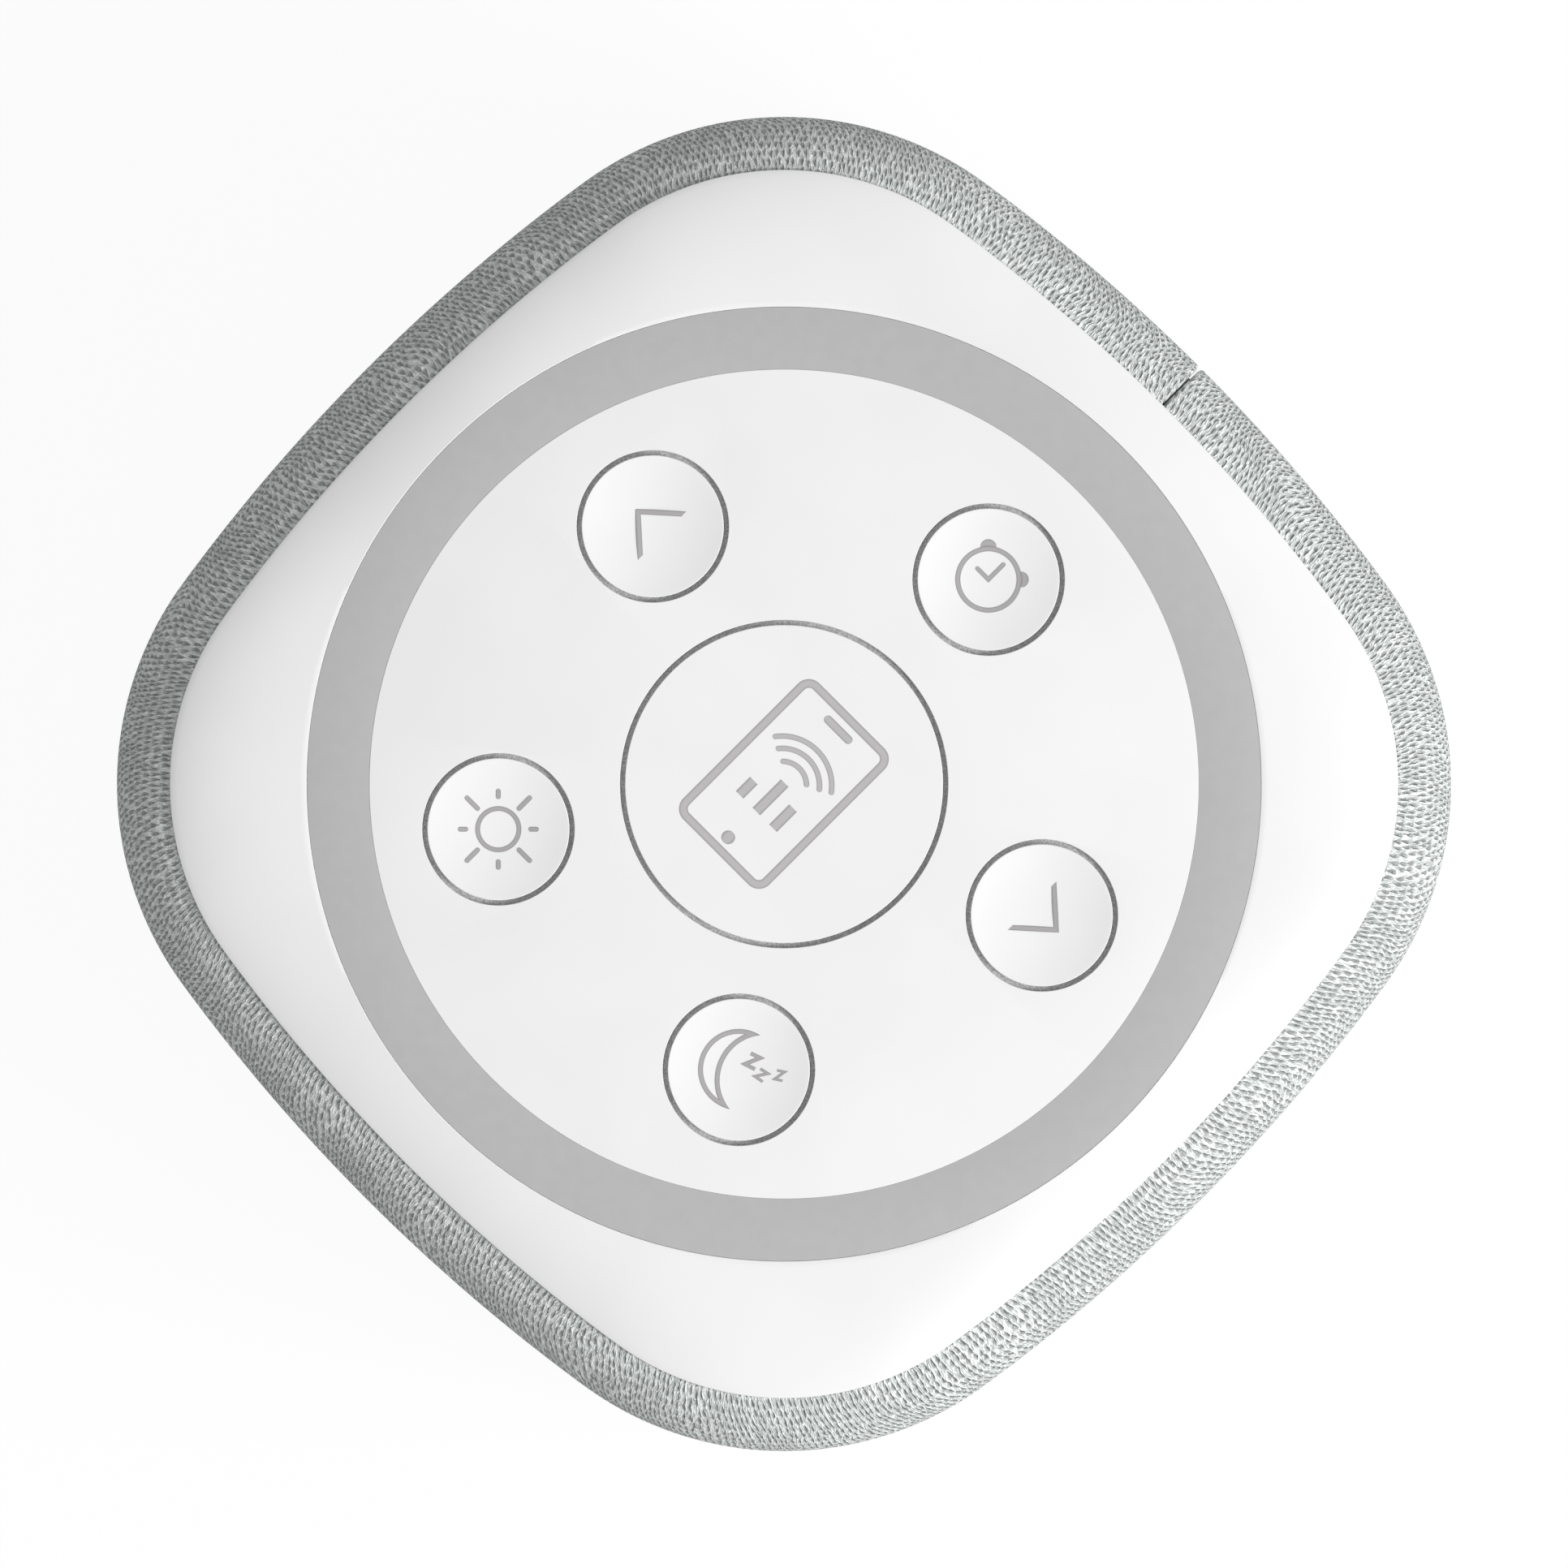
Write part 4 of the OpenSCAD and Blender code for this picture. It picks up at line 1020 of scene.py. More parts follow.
@dataclass(frozen=True)
class Outline:
    """The body's plan: four bowed sides and four rounded corners. Sizes in millimetres."""

    half: float = 50.0
    side_r: float = 158.0
    corner_r: float = 28.75

    @property
    def bow(self) -> float:
        """How far a side's centre lies behind the middle."""
        return self.side_r - self.half

    @property
    def corner(self) -> float:
        """Place of a corner's centre, to the right and to the back."""
        gap = self.side_r - self.corner_r
        return (math.sqrt(2 * gap * gap - self.bow**2) - self.bow) / 2

    @property
    def lean(self) -> float:
        """Angle that half a side turns through, in radians."""
        return math.atan2(self.corner, self.corner + self.bow)

    @property
    def half_side(self) -> float:
        """Length of half a side."""
        return self.side_r * self.lean

    @property
    def length(self) -> float:
        """Length all the way round."""
        return 8 * self.half_side + 4 * self.corner_r * (math.pi / 2 - 2 * self.lean)

    def at(self, run: float, inset: float = 0.0) -> Point:
        """Gives a point of the plan.

        Args:
            run: Distance round the plan from the middle of the back, anticlockwise.
            inset: Distance inwards from the plan.

        Returns:
            The point.
        """
        quarter, past = divmod(run + self.half_side, self.length / 4)
        if past <= 2 * self.half_side:
            angle = past / self.side_r - self.lean
            x = (self.side_r - inset) * math.cos(angle) - self.bow
            y = (self.side_r - inset) * math.sin(angle)
        else:
            angle = self.lean + (past - 2 * self.half_side) / self.corner_r
            x = self.corner + (self.corner_r - inset) * math.cos(angle)
            y = self.corner + (self.corner_r - inset) * math.sin(angle)
        turn = math.pi / 2 * (quarter + 1)
        return (x * math.cos(turn) - y * math.sin(turn), x * math.sin(turn) + y * math.cos(turn))

    def ring(self, inset: float, height: float) -> list[Vector]:
        """Gives a ring of the plan at an inset and a height, in metres."""
        points = (self.at(self.length * k / FINE, inset) for k in range(FINE))
        return [Vector((x * MM, y * MM, height * MM)) for x, y in points]

    def rings(self, *places: Point) -> list[list[Vector]]:
        """Gives rings of the plan at pairs of inset and height."""
        return [self.ring(inset, height) for inset, height in places]

    def circle(self, radius: float, height: float) -> list[Vector]:
        """Gives a round ring whose points lie in line with the plan's.

        Args:
            radius: The ring's radius.
            height: Its height.

        Returns:
            The ring, in metres.
        """
        ring = []
        for k in range(FINE):
            x, y = self.at(self.length * k / FINE)
            share = radius / math.hypot(x, y) * MM
            ring.append(Vector((x * share, y * share, height * MM)))
        return ring

    def reach(self, inset: float, angle: float = 45.0) -> float:
        """Gives the distance from the middle to a corner's arc.

        Args:
            inset: Distance inwards from the plan.
            angle: Direction in degrees.

        Returns:
            The distance.
        """
        turn = math.radians(angle)
        across = self.corner * (math.cos(turn) + math.sin(turn))
        return across + math.sqrt(across**2 - 2 * self.corner**2 + (self.corner_r - inset) ** 2)


PLAN = Outline()


# ---- Sub-assemblies ----


@dataclass
class Sleeve:
    """The knitted sleeve: one strip that goes round the body and meets itself at the back.

    Sizes in millimetres.
    """

    thickness: float = 1.2
    low: float = 13.1
    hem: float = 1.1
    shoulder_w: float = 7.0
    shoulder_h: float = 9.0
    edge_z: float = 61.8
    shell_inset: float = 4.6
    tuck: float = 0.9
    gap: float = 0.07
    roll: float = 0.32
    column: float = 0.85
    hem_rows: int = 6
    side_rows: int = 16
    shoulder_rows: int = 24

    @property
    def end(self) -> float:
        """Turn of the shoulder where it meets the shell, in radians."""
        return math.acos((self.shoulder_w - self.shell_inset) / self.shoulder_w)

    @property
    def shoulder_z(self) -> float:
        """Height at which the side ends and the shoulder begins."""
        return self.edge_z - self.shoulder_h * math.sin(self.end)

    @property
    def bend(self) -> float:
        """Inset at which the cloth turns under the shell."""
        return self.shell_inset + self.tuck * 0.7

    def shoulder(self, turn: float, depth: float) -> Point:
        """Gives the shoulder's inset and height at a turn in radians and a depth in the cloth."""
        return (self.shoulder_w - (self.shoulder_w - depth) * math.cos(turn),
                self.shoulder_z + (self.shoulder_h - depth) * math.sin(turn))

    def profile(self) -> list[tuple[float, float, float]]:
        """Gives the strip's section, up its outer face and down its inner one.

        Returns:
            Points of (inset, height, run).
        """
        foot, tip = self.low + self.hem, self.shell_inset + self.tuck
        points: list[Point] = []
        for k in range(self.hem_rows + 1):
            turn = math.pi / 2 * k / self.hem_rows
            height = self.low + self.hem * (1 - math.cos(turn))
            points.append((self.hem * (1 - math.sin(turn)), height))
        for k in range(1, self.side_rows):
            points.append((0.0, foot + (self.shoulder_z - foot) * k / self.side_rows))
        for k in range(self.shoulder_rows + 1):
            points.append(self.shoulder(self.end * k / self.shoulder_rows, 0.0))
        points += [(self.bend, self.edge_z + 0.02), (tip, self.edge_z - 0.25),
                   (tip, self.edge_z - self.thickness)]
        inner_rows = self.shoulder_rows // 2
        for k in range(inner_rows, -1, -1):
            points.append(self.shoulder(self.end * k / inner_rows, self.thickness))
        points += [(self.thickness, self.low + 0.4), (self.thickness - 0.05, self.low)]
        runs = [0.0]
        for start, stop in zip(points, points[1:]):
            runs.append(runs[-1] + math.dist(start, stop))
        return [(x, z, run) for (x, z), run in zip(points, runs)]

    def core(self, row: int, inset: float, height: float) -> Point:
        """Gives the middle of the strip's thickness beside a point of its section.

        Args:
            row: The point's number in the section.
            inset: Its inset.
            height: Its height.

        Returns:
            The middle's inset and height.
        """
        half = self.thickness / 2
        if row <= self.hem_rows:
            return (half, max(height, self.low + 0.5))
        if height < self.shoulder_z:
            return (half, height)
        if inset >= self.bend - MERGE:
            return (self.shell_inset + self.tuck - 0.3, self.edge_z - half)
        turn = math.atan2((height - self.shoulder_z) / self.shoulder_h,
                          (self.shoulder_w - inset) / self.shoulder_w)
        return self.shoulder(min(turn, self.end), half)

    def columns(self) -> list[float]:
        """Gives the places of the strip's columns, close together at its two rolled ends.

        Returns:
            Distances along the strip.
        """
        near = [0.0, 0.02, 0.06, 0.12, 0.2, self.roll, 0.6]
        long = PLAN.length - 2 * self.gap
        count = round((long - 2 * near[-1]) / self.column)
        middle = [near[-1] + (long - 2 * near[-1]) * k / count for k in range(1, count)]
        return near + middle + [long - s for s in reversed(near)]

    def build(self, paints: Paints) -> None:
        """Lays a grid round the body, closes its section and rolls its two ends.

        Args:
            paints: The finishes.
        """
        rows, columns = self.profile(), self.columns()
        across, long = len(columns), columns[-1]
        rest()
        bpy.ops.mesh.primitive_grid_add(x_subdivisions=across - 1, y_subdivisions=len(rows), size=1)
        sleeve = bpy.context.object
        section = [*rows, (*rows[0][:2], rows[-1][2] + 0.3)]
        cores = [self.core(k % len(rows), *place[:2]) for k, place in enumerate(section)]
        for vertex in sleeve.data.vertices:
            j, i = divmod(vertex.index, across)
            inset, height, _ = section[j]
            inside = min(columns[i], long - columns[i]) / self.roll
            if inside < 1:
                swell = max(0.1, math.sqrt(1 - (1 - inside) ** 2))
                inset = cores[j][0] + (inset - cores[j][0]) * swell
                height = cores[j][1] + (height - cores[j][1]) * swell
            x, y = PLAN.at(columns[i] + self.gap, inset)
            vertex.co = (x * MM, y * MM, height * MM)
        yarn = sleeve.data.uv_layers.active
        yarn.name = "yarn"
        for loop in sleeve.data.loops:
            j, i = divmod(loop.vertex_index, across)
            yarn.data[loop.index].uv = (columns[i], section[j][2])
        pick(sleeve)
        edit()
        bpy.ops.mesh.remove_doubles(threshold=MERGE)
        bpy.ops.mesh.fill_holes(sides=0)
        close("knitted_sleeve")
        smoothed(sleeve, 50)
        paints.stand_in(sleeve, "fabric_sleeve", "case", "knit_fabric")


@dataclass(frozen=True)
class Boss:
    """A round boss for a screw. Sizes in millimetres."""

    radius: float
    bore: float
    low: float
    deep: float

    def made(self, top: float, places: list[Point]) -> Piece:
        """Models the bored boss and copies it to its places.

        Args:
            top: Height of the upper end.
            places: Where the bosses stand.

        Returns:
            The joined bosses.
        """
        end = self.low + self.deep
        section = [(0, top), (self.radius, top), (self.radius, self.low), (self.bore, self.low),
                   (self.bore, end), (0, end)]
        return copied(spun("boss", eased(section, {2: 0.2}, 2), 40), places)


@dataclass
class TopShell:
    """The crowned shell round the light ring, with its rim, collar and screw bosses.

    Sizes in millimetres.
    """

    drop: float = 1.65
    fall: Span = (6.5, 4.2)
    inset: float = 4.6
    lip: float = 0.45
    wall: float = 2.0
    hole_r: float = 40.43
    collar: float = 1.3
    collar_low: float = 58.0
    rim_inset: float = 7.0
    rim: float = 1.6
    rim_low: float = 52.0
    crown_rings: int = 22
    corner_boss: Boss = Boss(2.7, 1.15, 52.0, 5.5)
    ear: Boss = Boss(2.2, 1.0, 56.0, 3.9)
    ear_angle: float = 28.0

    def crown(self, share: float, down: float = 0.0) -> list[Vector]:
        """Gives a ring between the hole and the edge, on the crowned face or that far under it.

        The face falls away faster and faster towards the edge, over a shorter way where the
        shell is wide.

        Args:
            share: 0 at the hole, 1 at the edge.
            down: Distance under the face.

        Returns:
            The ring, in metres.
        """
        inner = PLAN.circle(self.hole_r + 0.07, TOP - down)
        outer = PLAN.ring(self.inset + 0.1, TOP - down)
        widths = [(b - a).length / MM for a, b in zip(inner, outer)]
        narrow, wide = min(widths), max(widths)
        ring = []
        for a, b, width in zip(inner, outer, widths):
            place = a.lerp(b, share)
            part = (width - narrow) / (wide - narrow)
            fall = self.fall[0] + (self.fall[1] - self.fall[0]) * part
            rise = (1 - math.exp(-width * (1 - share) / fall)) / (1 - math.exp(-width / fall))
            place.z -= self.drop * (1 - rise) * MM
            ring.append(place)
        return ring

    def rings(self) -> list[list[Vector]]:
        """Gives the shell's section round the plan, from its underside over its face.

        Returns:
            The rings, in metres.
        """
        edge = TOP - self.drop
        under = edge - self.lip
        rim_in = self.rim_inset + self.rim
        rings = PLAN.rings(
            (self.rim_inset, under), (self.inset + 0.12, under), (self.inset, under + 0.12),
            (self.inset, edge - 0.16), (self.inset + 0.03, edge - 0.05))
        rings += [self.crown(k / self.crown_rings) for k in range(self.crown_rings, -1, -1)]
        rings += [PLAN.circle(self.hole_r + out, height) for out, height in (
            (0.02, TOP - 0.02), (0.0, TOP - 0.06), (0.0, self.collar_low),
            (self.collar, self.collar_low), (self.collar, TOP - self.wall - 0.1))]
        rings += [self.crown(share, self.wall) for share in (0.35, 0.55)]
        return rings + PLAN.rings(
            (rim_in, under - 0.1), (rim_in, self.rim_low + 0.1), (rim_in - 0.1, self.rim_low),
            (self.rim_inset + 0.1, self.rim_low), (self.rim_inset, self.rim_low + 0.1))

    def build(self, paints: Paints) -> None:
        """Lofts the section round the plan, joins the bored bosses and clears the opening.

        Args:
            paints: The finishes.
        """
        shell = lofted("crowned_shell", self.rings(), solid=False)
        rim_in = self.rim_inset + self.rim
        top = TOP - self.drop - self.lip / 2
        corners = around(PLAN.reach(rim_in) - self.corner_boss.radius / 2, DIAGONALS)
        ways = [self.ear_angle + 90 * k for k in range(4)]
        ears = around(PLAN.reach(rim_in, self.ear_angle) - 2.7, ways)
        for boss, places in ((self.corner_boss, corners), (self.ear, ears)):
            shell = carved(shell, boss.made(top, places), Cut.TOGETHER)
        opening = spun("opening", barrel(self.hole_r, 50, self.collar_low - 0.1), FINE)
        shell = carved(shell, opening, Cut.AWAY)
        smoothed(shell, 28)
        paints.stand_in(shell, "top_shell", "case", "shell_plastic")


@dataclass
class BaseShell:
    """The moulded base with its posts, foot recesses and socket opening. Sizes in millimetres."""

    inset: float = 0.8
    low: float = 1.2
    edge_r: float = 6.0
    high: float = 13.0
    wall: float = 2.2
    floor: float = 3.4
    lip_inset: float = 3.2
    lip: float = 1.2
    edge_rings: int = 12
    post: float = 3.6
    post_top: float = 16.0
    stand: float = 2.45
    stand_top: float = 5.2
    pilot: float = 1.0
    standoff_x: float = 22.0
    standoffs_y: Span = (8.31, 36.31)
    socket_z: float = 8.43

    def rings(self) -> list[list[Vector]]:
        """Gives the bowl's section, from its bottom over its lip to its floor.

        Returns:
            The rings, in metres.
        """
        turns = [math.pi / 2 * k / self.edge_rings for k in range(self.edge_rings + 1)]
        curve = [(self.inset + self.edge_r * (1 - math.sin(turn)),
                  self.low + self.edge_r * (1 - math.cos(turn))) for turn in turns]
        inner, lip_in = self.inset + self.wall, self.lip_inset + self.lip
        return PLAN.rings(
            *curve, (self.inset, self.high - 0.25), (self.inset + 0.07, self.high - 0.07),
            (self.inset + 0.25, self.high), (self.lip_inset, self.high),
            (self.lip_inset, self.high + 2), (lip_in, self.high + 2), (lip_in, self.high - 1),
            (inner, self.high - 2), (inner, self.floor + 3.6), (inner + 1.0, self.floor + 1.1),
            (inner + 3.6, self.floor))

    def build(self, paints: Paints) -> None:
        """Lofts the bowl, joins its posts and cuts its recesses and opening.

        Args:
            paints: The finishes.
        """
        shell = lofted("moulded_base", self.rings(), solid=True)
        corners = around(POST_R, DIAGONALS)
        stands = [(side * self.standoff_x, y) for side in (-1, 1) for y in self.standoffs_y]
        post = eased(barrel(self.post, 3, self.post_top), {2: 0.2}, 2)
        recess = [(0, 0.5), (5.75, 0.5), (5.75, 1.1), (5.6, 1.25), (5.6, 2.0), (3.0, 2.0),
                  (3.0, 4.1), (1.7, 4.1), (1.7, 17), (0, 17)]
        for name, section, steps, places, way in (
            ("post", post, 48, corners, Cut.TOGETHER),
            ("stand", barrel(self.stand, 3, self.stand_top), 36, stands, Cut.TOGETHER),
            ("recess", recess, 64, corners, Cut.AWAY),
            ("pilot", barrel(self.pilot, 2.4, 6), 32, stands, Cut.AWAY),
        ):
            shell = carved(shell, copied(spun(name, section, steps), places), way)
        for width, height, deep in ((9.14, 3.46, 6.0), (12.54, 6.86, 1.9)):
            shell = carved(shell, self.slot(width, height, deep), Cut.AWAY)
        smoothed(shell, 28)
        paints.stand_in(shell, "base_shell", "case", "base_plastic")

    def slot(self, width: float, height: float, deep: float, out: float = 3.0) -> Piece:
        """Models the round-ended block that cuts the socket's opening from the back.

        Args:
            width: Width of the opening.
            height: Height of the opening.
            deep: How far it goes in from the back face.
            out: How far the block stands out of that face.

        Returns:
            The block.
        """
        rest()
        radius = height / 2 * MM
        bpy.ops.mesh.primitive_circle_add(vertices=48, radius=radius, fill_type="NGON")
        block = bpy.context.object
        for vertex in block.data.vertices:
            vertex.co.x += math.copysign((width - height) / 2 * MM, vertex.co.x)
        edit()
        raised(deep + out)
        close("slot")
        block.rotation_euler = (math.pi / 2, 0, 0)
        block.location = (0, (PLAN.half - self.inset + out) * MM, self.socket_z * MM)
        return applied(block)


@dataclass
class Feet:
    """Four round rubber feet with a raised rim. Sizes in millimetres."""

    radius: float = 5.5
    thickness: float = 2.0
    rim: float = 1.45
    slope: float = 0.35
    hollow: float = 0.25

    def build(self, paints: Paints) -> None:
        """Spins one foot with its worn rim and shallow middle and copies it.

        Args:
            paints: The finishes.
        """
        r, inner = self.radius, self.radius - self.rim
        section = [(0, self.hollow), (inner - self.slope, self.hollow), (inner, 0.0), (r, 0.0),
                   (r, self.thickness), (0, self.thickness)]
        foot = spun("rubber_pads", eased(section, {2: 0.15, 3: 0.35, 4: 0.1}), 72)
        feet = copied(foot, around(POST_R, DIAGONALS))
        smoothed(feet, 40)
        paints.stand_in(feet, "rubber_feet", "case", "foot_rubber")


@dataclass
class Ring:
    """The diffuser ring round the panel. Sizes in millimetres."""

    inner: float = 35.14
    outer: float = 40.41
    top: float = 63.97
    thickness: float = 2.27
    bevel: float = 0.03
    rib: float = 0.6
    rib_in: float = 0.6
    rib_out: float = 1.5

    def build(self, paints: Paints) -> None:
        """Spins the ring's section with its eased edges and the rib that centres it.

        Args:
            paints: The finishes.
        """
        low = self.top - self.thickness
        start, stop = self.inner + self.rib_in, self.outer - self.rib_out
        section = [(self.inner, low), (start, low), (start, low - self.rib), (stop, low - self.rib),
                   (stop, low), (self.outer, low), (self.outer, self.top), (self.inner, self.top)]
        course = eased(section, {6: self.bevel, 7: self.bevel})
        ring = spun("light_diffuser", [*course, course[0]], FINE)
        smoothed(ring, 30)
        paints.stand_in(ring, "light_ring", "case", "diffuser_plastic")


@dataclass(frozen=True)
class Key:
    """One key: its name, the angle and radius of its place, its hole and its dish."""

    name: str
    angle: float
    reach: float = 24.5
    hole: float = 12.9
    dish: float = 0.62
    steps: int = 96

    @property
    def place(self) -> Point:
        """The key's middle in plan."""
        return around(self.reach, [self.angle])[0]

    @property
    def cap(self) -> float:
        """The cap's radius."""
        return self.hole / 2 - 0.43

    def height(self, x: float, y: float) -> float:
        """Gives the height of the cap's face.

        Args:
            x: Distance to the right of the key's middle.
            y: Distance behind it.

        Returns:
            The height.
        """
        if self.dish == 0:
            return TOP
        edge = self.cap - 0.07
        ball = (edge**2 + self.dish**2) / (2 * self.dish)
        away = min(math.hypot(x, y), edge)
        return TOP - self.dish + ball - math.sqrt(ball**2 - away**2)


PHONE = Key("phone", 0.0, 0.0, 27.8, 0.0, 144)
NEXT, TIMER, PREVIOUS, LIGHT, SLEEP = SMALL_KEYS = tuple(
    Key(name, 18.0 + 72.0 * k)
    for k, name in enumerate(("next", "timer", "previous", "light", "sleep")))


@dataclass
class Panel:
    """The round control panel with its six stepped holes and five posts. Sizes in millimetres."""

    radius: float = 35.13
    thickness: float = 2.0
    lip: float = 0.8
    bevel: float = 0.05
    flange: float = 0.9
    posts_r: float = 28.3
    post: float = 2.3
    post_low: float = 56.0
    bore: float = 1.0
    bore_top: float = 59.9

    def build(self, paints: Paints) -> None:
        """Spins the plate, joins its posts and cuts the stepped holes and the pilot bores.

        Args:
            paints: The finishes.
        """
        low = TOP - self.thickness
        section = eased(barrel(self.radius, low, TOP), {1: 0.15, 2: self.bevel})
        plate = spun("key_panel", section, FINE)
        spots = around(self.posts_r, [54 + 72 * k for k in range(5)])
        post = spun("post", barrel(self.post, self.post_low, low + 0.5), 40)
        plate = carved(plate, copied(post, spots), Cut.TOGETHER)
        for keys in ((PHONE,), SMALL_KEYS):
            cutter = spun("hole", self.hole(keys[0].hole / 2), keys[0].steps)
            plate = carved(plate, copied(cutter, [key.place for key in keys]), Cut.AWAY)
        bore = spun("bore", barrel(self.bore, self.post_low - 1, self.bore_top), 32)
        plate = carved(plate, copied(bore, spots), Cut.AWAY)
        smoothed(plate, 28)
        paints.stand_in(plate, "control_panel", "case", "panel_plastic")

    def hole(self, radius: float) -> list[Point]:
        """Gives the section of a stepped hole with an eased rim.

        Args:
            radius: The hole's radius.

        Returns:
            The section, past both faces of the plate.
        """
        step, low, wide = TOP - self.lip, TOP - self.thickness - 1, radius + self.flange
        rim = radius + self.bevel
        return [(0, low), (wide, low), (wide, step), (radius, step), (radius, TOP - 0.04),
                (rim, TOP + 0.01), (rim, TOP + 1), (0, TOP + 1)]


class Tip(Enum):
    """How a stroke of a mark ends."""

    ROUND = "round"
    SQUARE = "square"
    UPRIGHT = "upright"
    JOINED = "joined"


@dataclass
class Stroke:
    """One stroke of a printed mark: a line with a width and a kind of end, in millimetres."""

    points: Sequence[Point]
    width: float
    tip: Tip = Tip.ROUND

    def stations(self) -> list[tuple[Vector, Vector]]:
        """Gives the stroke's left and right edge points, from its start to its end.

        Returns:
            The pairs of points.
        """
        course = [Vector(p) for p in self.points]
        joined = self.tip is Tip.JOINED
        pairs = []
        for k, here in enumerate(course):
            before = course[k - 1] if k or joined else None
            after = course[(k + 1) % len(course)] if k < len(course) - 1 or joined else None
            ways = [(here - before).normalized()] if before is not None else []
            ways += [(after - here).normalized()] if after is not None else []
            way = sum(ways, Vector((0, 0))).normalized()
            across = Vector((-way.y, way.x))
            bend = across.dot(Vector((-ways[0].y, ways[0].x)))
            if self.tip is Tip.UPRIGHT and len(ways) == 1:
                across, bend = Vector((0, math.copysign(1, across.y))), abs(way.x)
            half = across * self.width / 2 / bend
            pairs.append((here + half, here - half))
        if joined:
            return [*pairs, pairs[0]]
        if self.tip is Tip.ROUND:
            start, end = self.cap(course[0], course[1]), self.cap(course[-1], course[-2])
            pairs = start[::-1] + pairs[1:-1] + [(b, a) for a, b in end]
        return pairs

    def cap(self, end: Vector, inner: Vector, steps: int = 6) -> list[tuple[Vector, Vector]]:
        """Gives the round end's stations, from the stroke's body out to its tip.

        Args:
            end: The line's last point.
            inner: The point before it.
            steps: Number of steps.

        Returns:
            The pairs of points.
        """
        out = (end - inner).normalized() * (self.width / 2)
        across = Vector((out.y, -out.x))
        turns = [math.pi / 2 * k / steps for k in range(steps + 1)]
        return [(end + out * math.sin(t) + across * math.cos(t),
                 end + out * math.sin(t) - across * math.cos(t)) for t in turns]


@dataclass
class Band:
    """A printed shape between two edges with the same number of points, in millimetres."""

    inner: Sequence[Point]
    outer: Sequence[Point]

    def stations(self) -> list[tuple[Vector, Vector]]:
        """Gives the shape's pairs of edge points, from its start to its end."""
        return [(Vector(a), Vector(b)) for a, b in zip(self.inner, self.outer)]


def arc(centre: Point, radius: float, start: float, stop: float, steps: int = 24) -> list[Point]:
    """Gives points on an arc between two angles in degrees."""
    turns = (start + (stop - start) * k / steps for k in range(steps + 1))
    return [(centre[0] + x, centre[1] + y) for x, y in around(radius, turns)]


def line(start: Point, stop: Point, pitch: float = 0.4) -> list[Point]:
    """Gives points on a straight line, no further apart than the pitch."""
    count = max(1, math.ceil(math.dist(start, stop) / pitch))
    return [tuple(a + (b - a) * k / count for a, b in zip(start, stop)) for k in range(count + 1)]


def ring_of(radius: float, steps: int = 64) -> list[Point]:
    """Gives the points of a full circle about the middle, without the last one."""
    return arc((0, 0), radius, 0, 360, steps)[:-1]


def turned(points: Sequence[Point], angle: float) -> list[Point]:
    """Turns points about the middle by an angle in degrees."""
    c, s = around(1.0, [angle])[0]
    return [(x * c - y * s, x * s + y * c) for x, y in points]


@dataclass
class Mark:
    """A printed mark on a key's face. Sizes in millimetres."""

    key: Key
    strokes: Sequence[Stroke | Band]
    ink: str = "fine_ink"
    proud: float = 0.02
    thickness: float = 0.05

    def build(self, paints: Paints) -> None:
        """Lays each stroke on the key's face, joins them and gives the ink its thickness.

        Args:
            paints: The finishes.
        """
        parts = [self.strip(stroke) for stroke in self.strokes]
        pick(*parts)
        if len(parts) > 1:
            bpy.ops.object.join()
        mark = named(bpy.context.object, f"{self.key.name}_mark")
        skin = mark.modifiers.new("ink", "SOLIDIFY")
        skin.thickness = self.thickness * MM
        skin.offset = -1
        bpy.ops.object.modifier_apply(modifier=skin.name)
        paints.coat(mark, self.ink)
        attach(mark, f"{self.key.name}_key")
        faces = len(mark.data.polygons)
        log.info("%s rides on %s_key, %d faces", mark.name, self.key.name, faces)

    def strip(self, stroke: Stroke | Band) -> Piece:
        """Lays a narrow grid along one stroke.

        Args:
            stroke: The stroke.

        Returns:
            The grid, face up.
        """
        pairs = stroke.stations()
        across = len(pairs)
        rest()
        bpy.ops.mesh.primitive_grid_add(x_subdivisions=across - 1, y_subdivisions=2, size=MM)
        part = bpy.context.object
        middle_x, middle_y = self.key.place
        for vertex in part.data.vertices:
            j, i = divmod(vertex.index, across)
            left, right = pairs[i]
            spot = right.lerp(left, j / 2)
            height = self.key.height(spot.x, spot.y) + self.proud
            vertex.co = ((middle_x + spot.x) * MM, (middle_y + spot.y) * MM, height * MM)
        pick(part)
        edit()
        close("strip")
        if part.data.polygons[0].normal.z < 0:
            edit()
            bpy.ops.mesh.flip_normals()
            bpy.ops.object.mode_set(mode="OBJECT")
        return part


def phone() -> list[Stroke | Band]:
    """Gives the phone: its frame, its ear slot and key, sound waves and three level bars.

    Returns:
        The strokes.
    """
    corners = ((4.79, 7.78, 0), (-4.79, 7.78, 90), (-4.79, -7.78, 180), (4.79, -7.78, 270))
    bend = 0.9
    frame_line: list[Point] = []
    for x, y, start in corners:
        centre = (x - math.copysign(bend, x), y - math.copysign(bend, y))
        frame_line += arc(centre, bend, start, start + 90, 10)
    key = (-0.14, -6.53)
    strokes = [
        Stroke(frame_line, 0.735, Tip.JOINED),
        Stroke(line((-1.18, 6.5), (1.2, 6.5)), 0.73),
        Band(arc(key, 0.58, 90, 270, 32), arc(key, 0.58, 90, -90, 32)),
    ]
    strokes += [Stroke(arc((0, -0.2), radius, 90 + half, 90 - half), 0.46)
                for radius, half in ((2.06, 43), (3.16, 51), (4.2, 53))]
    strokes += [Stroke(line((x, -3.3), (x, top), 1.0), 0.9, Tip.SQUARE)
                for x, top in ((-2.0, -1.6), (0.0, 0.1), (2.0, -0.9))]
    return strokes


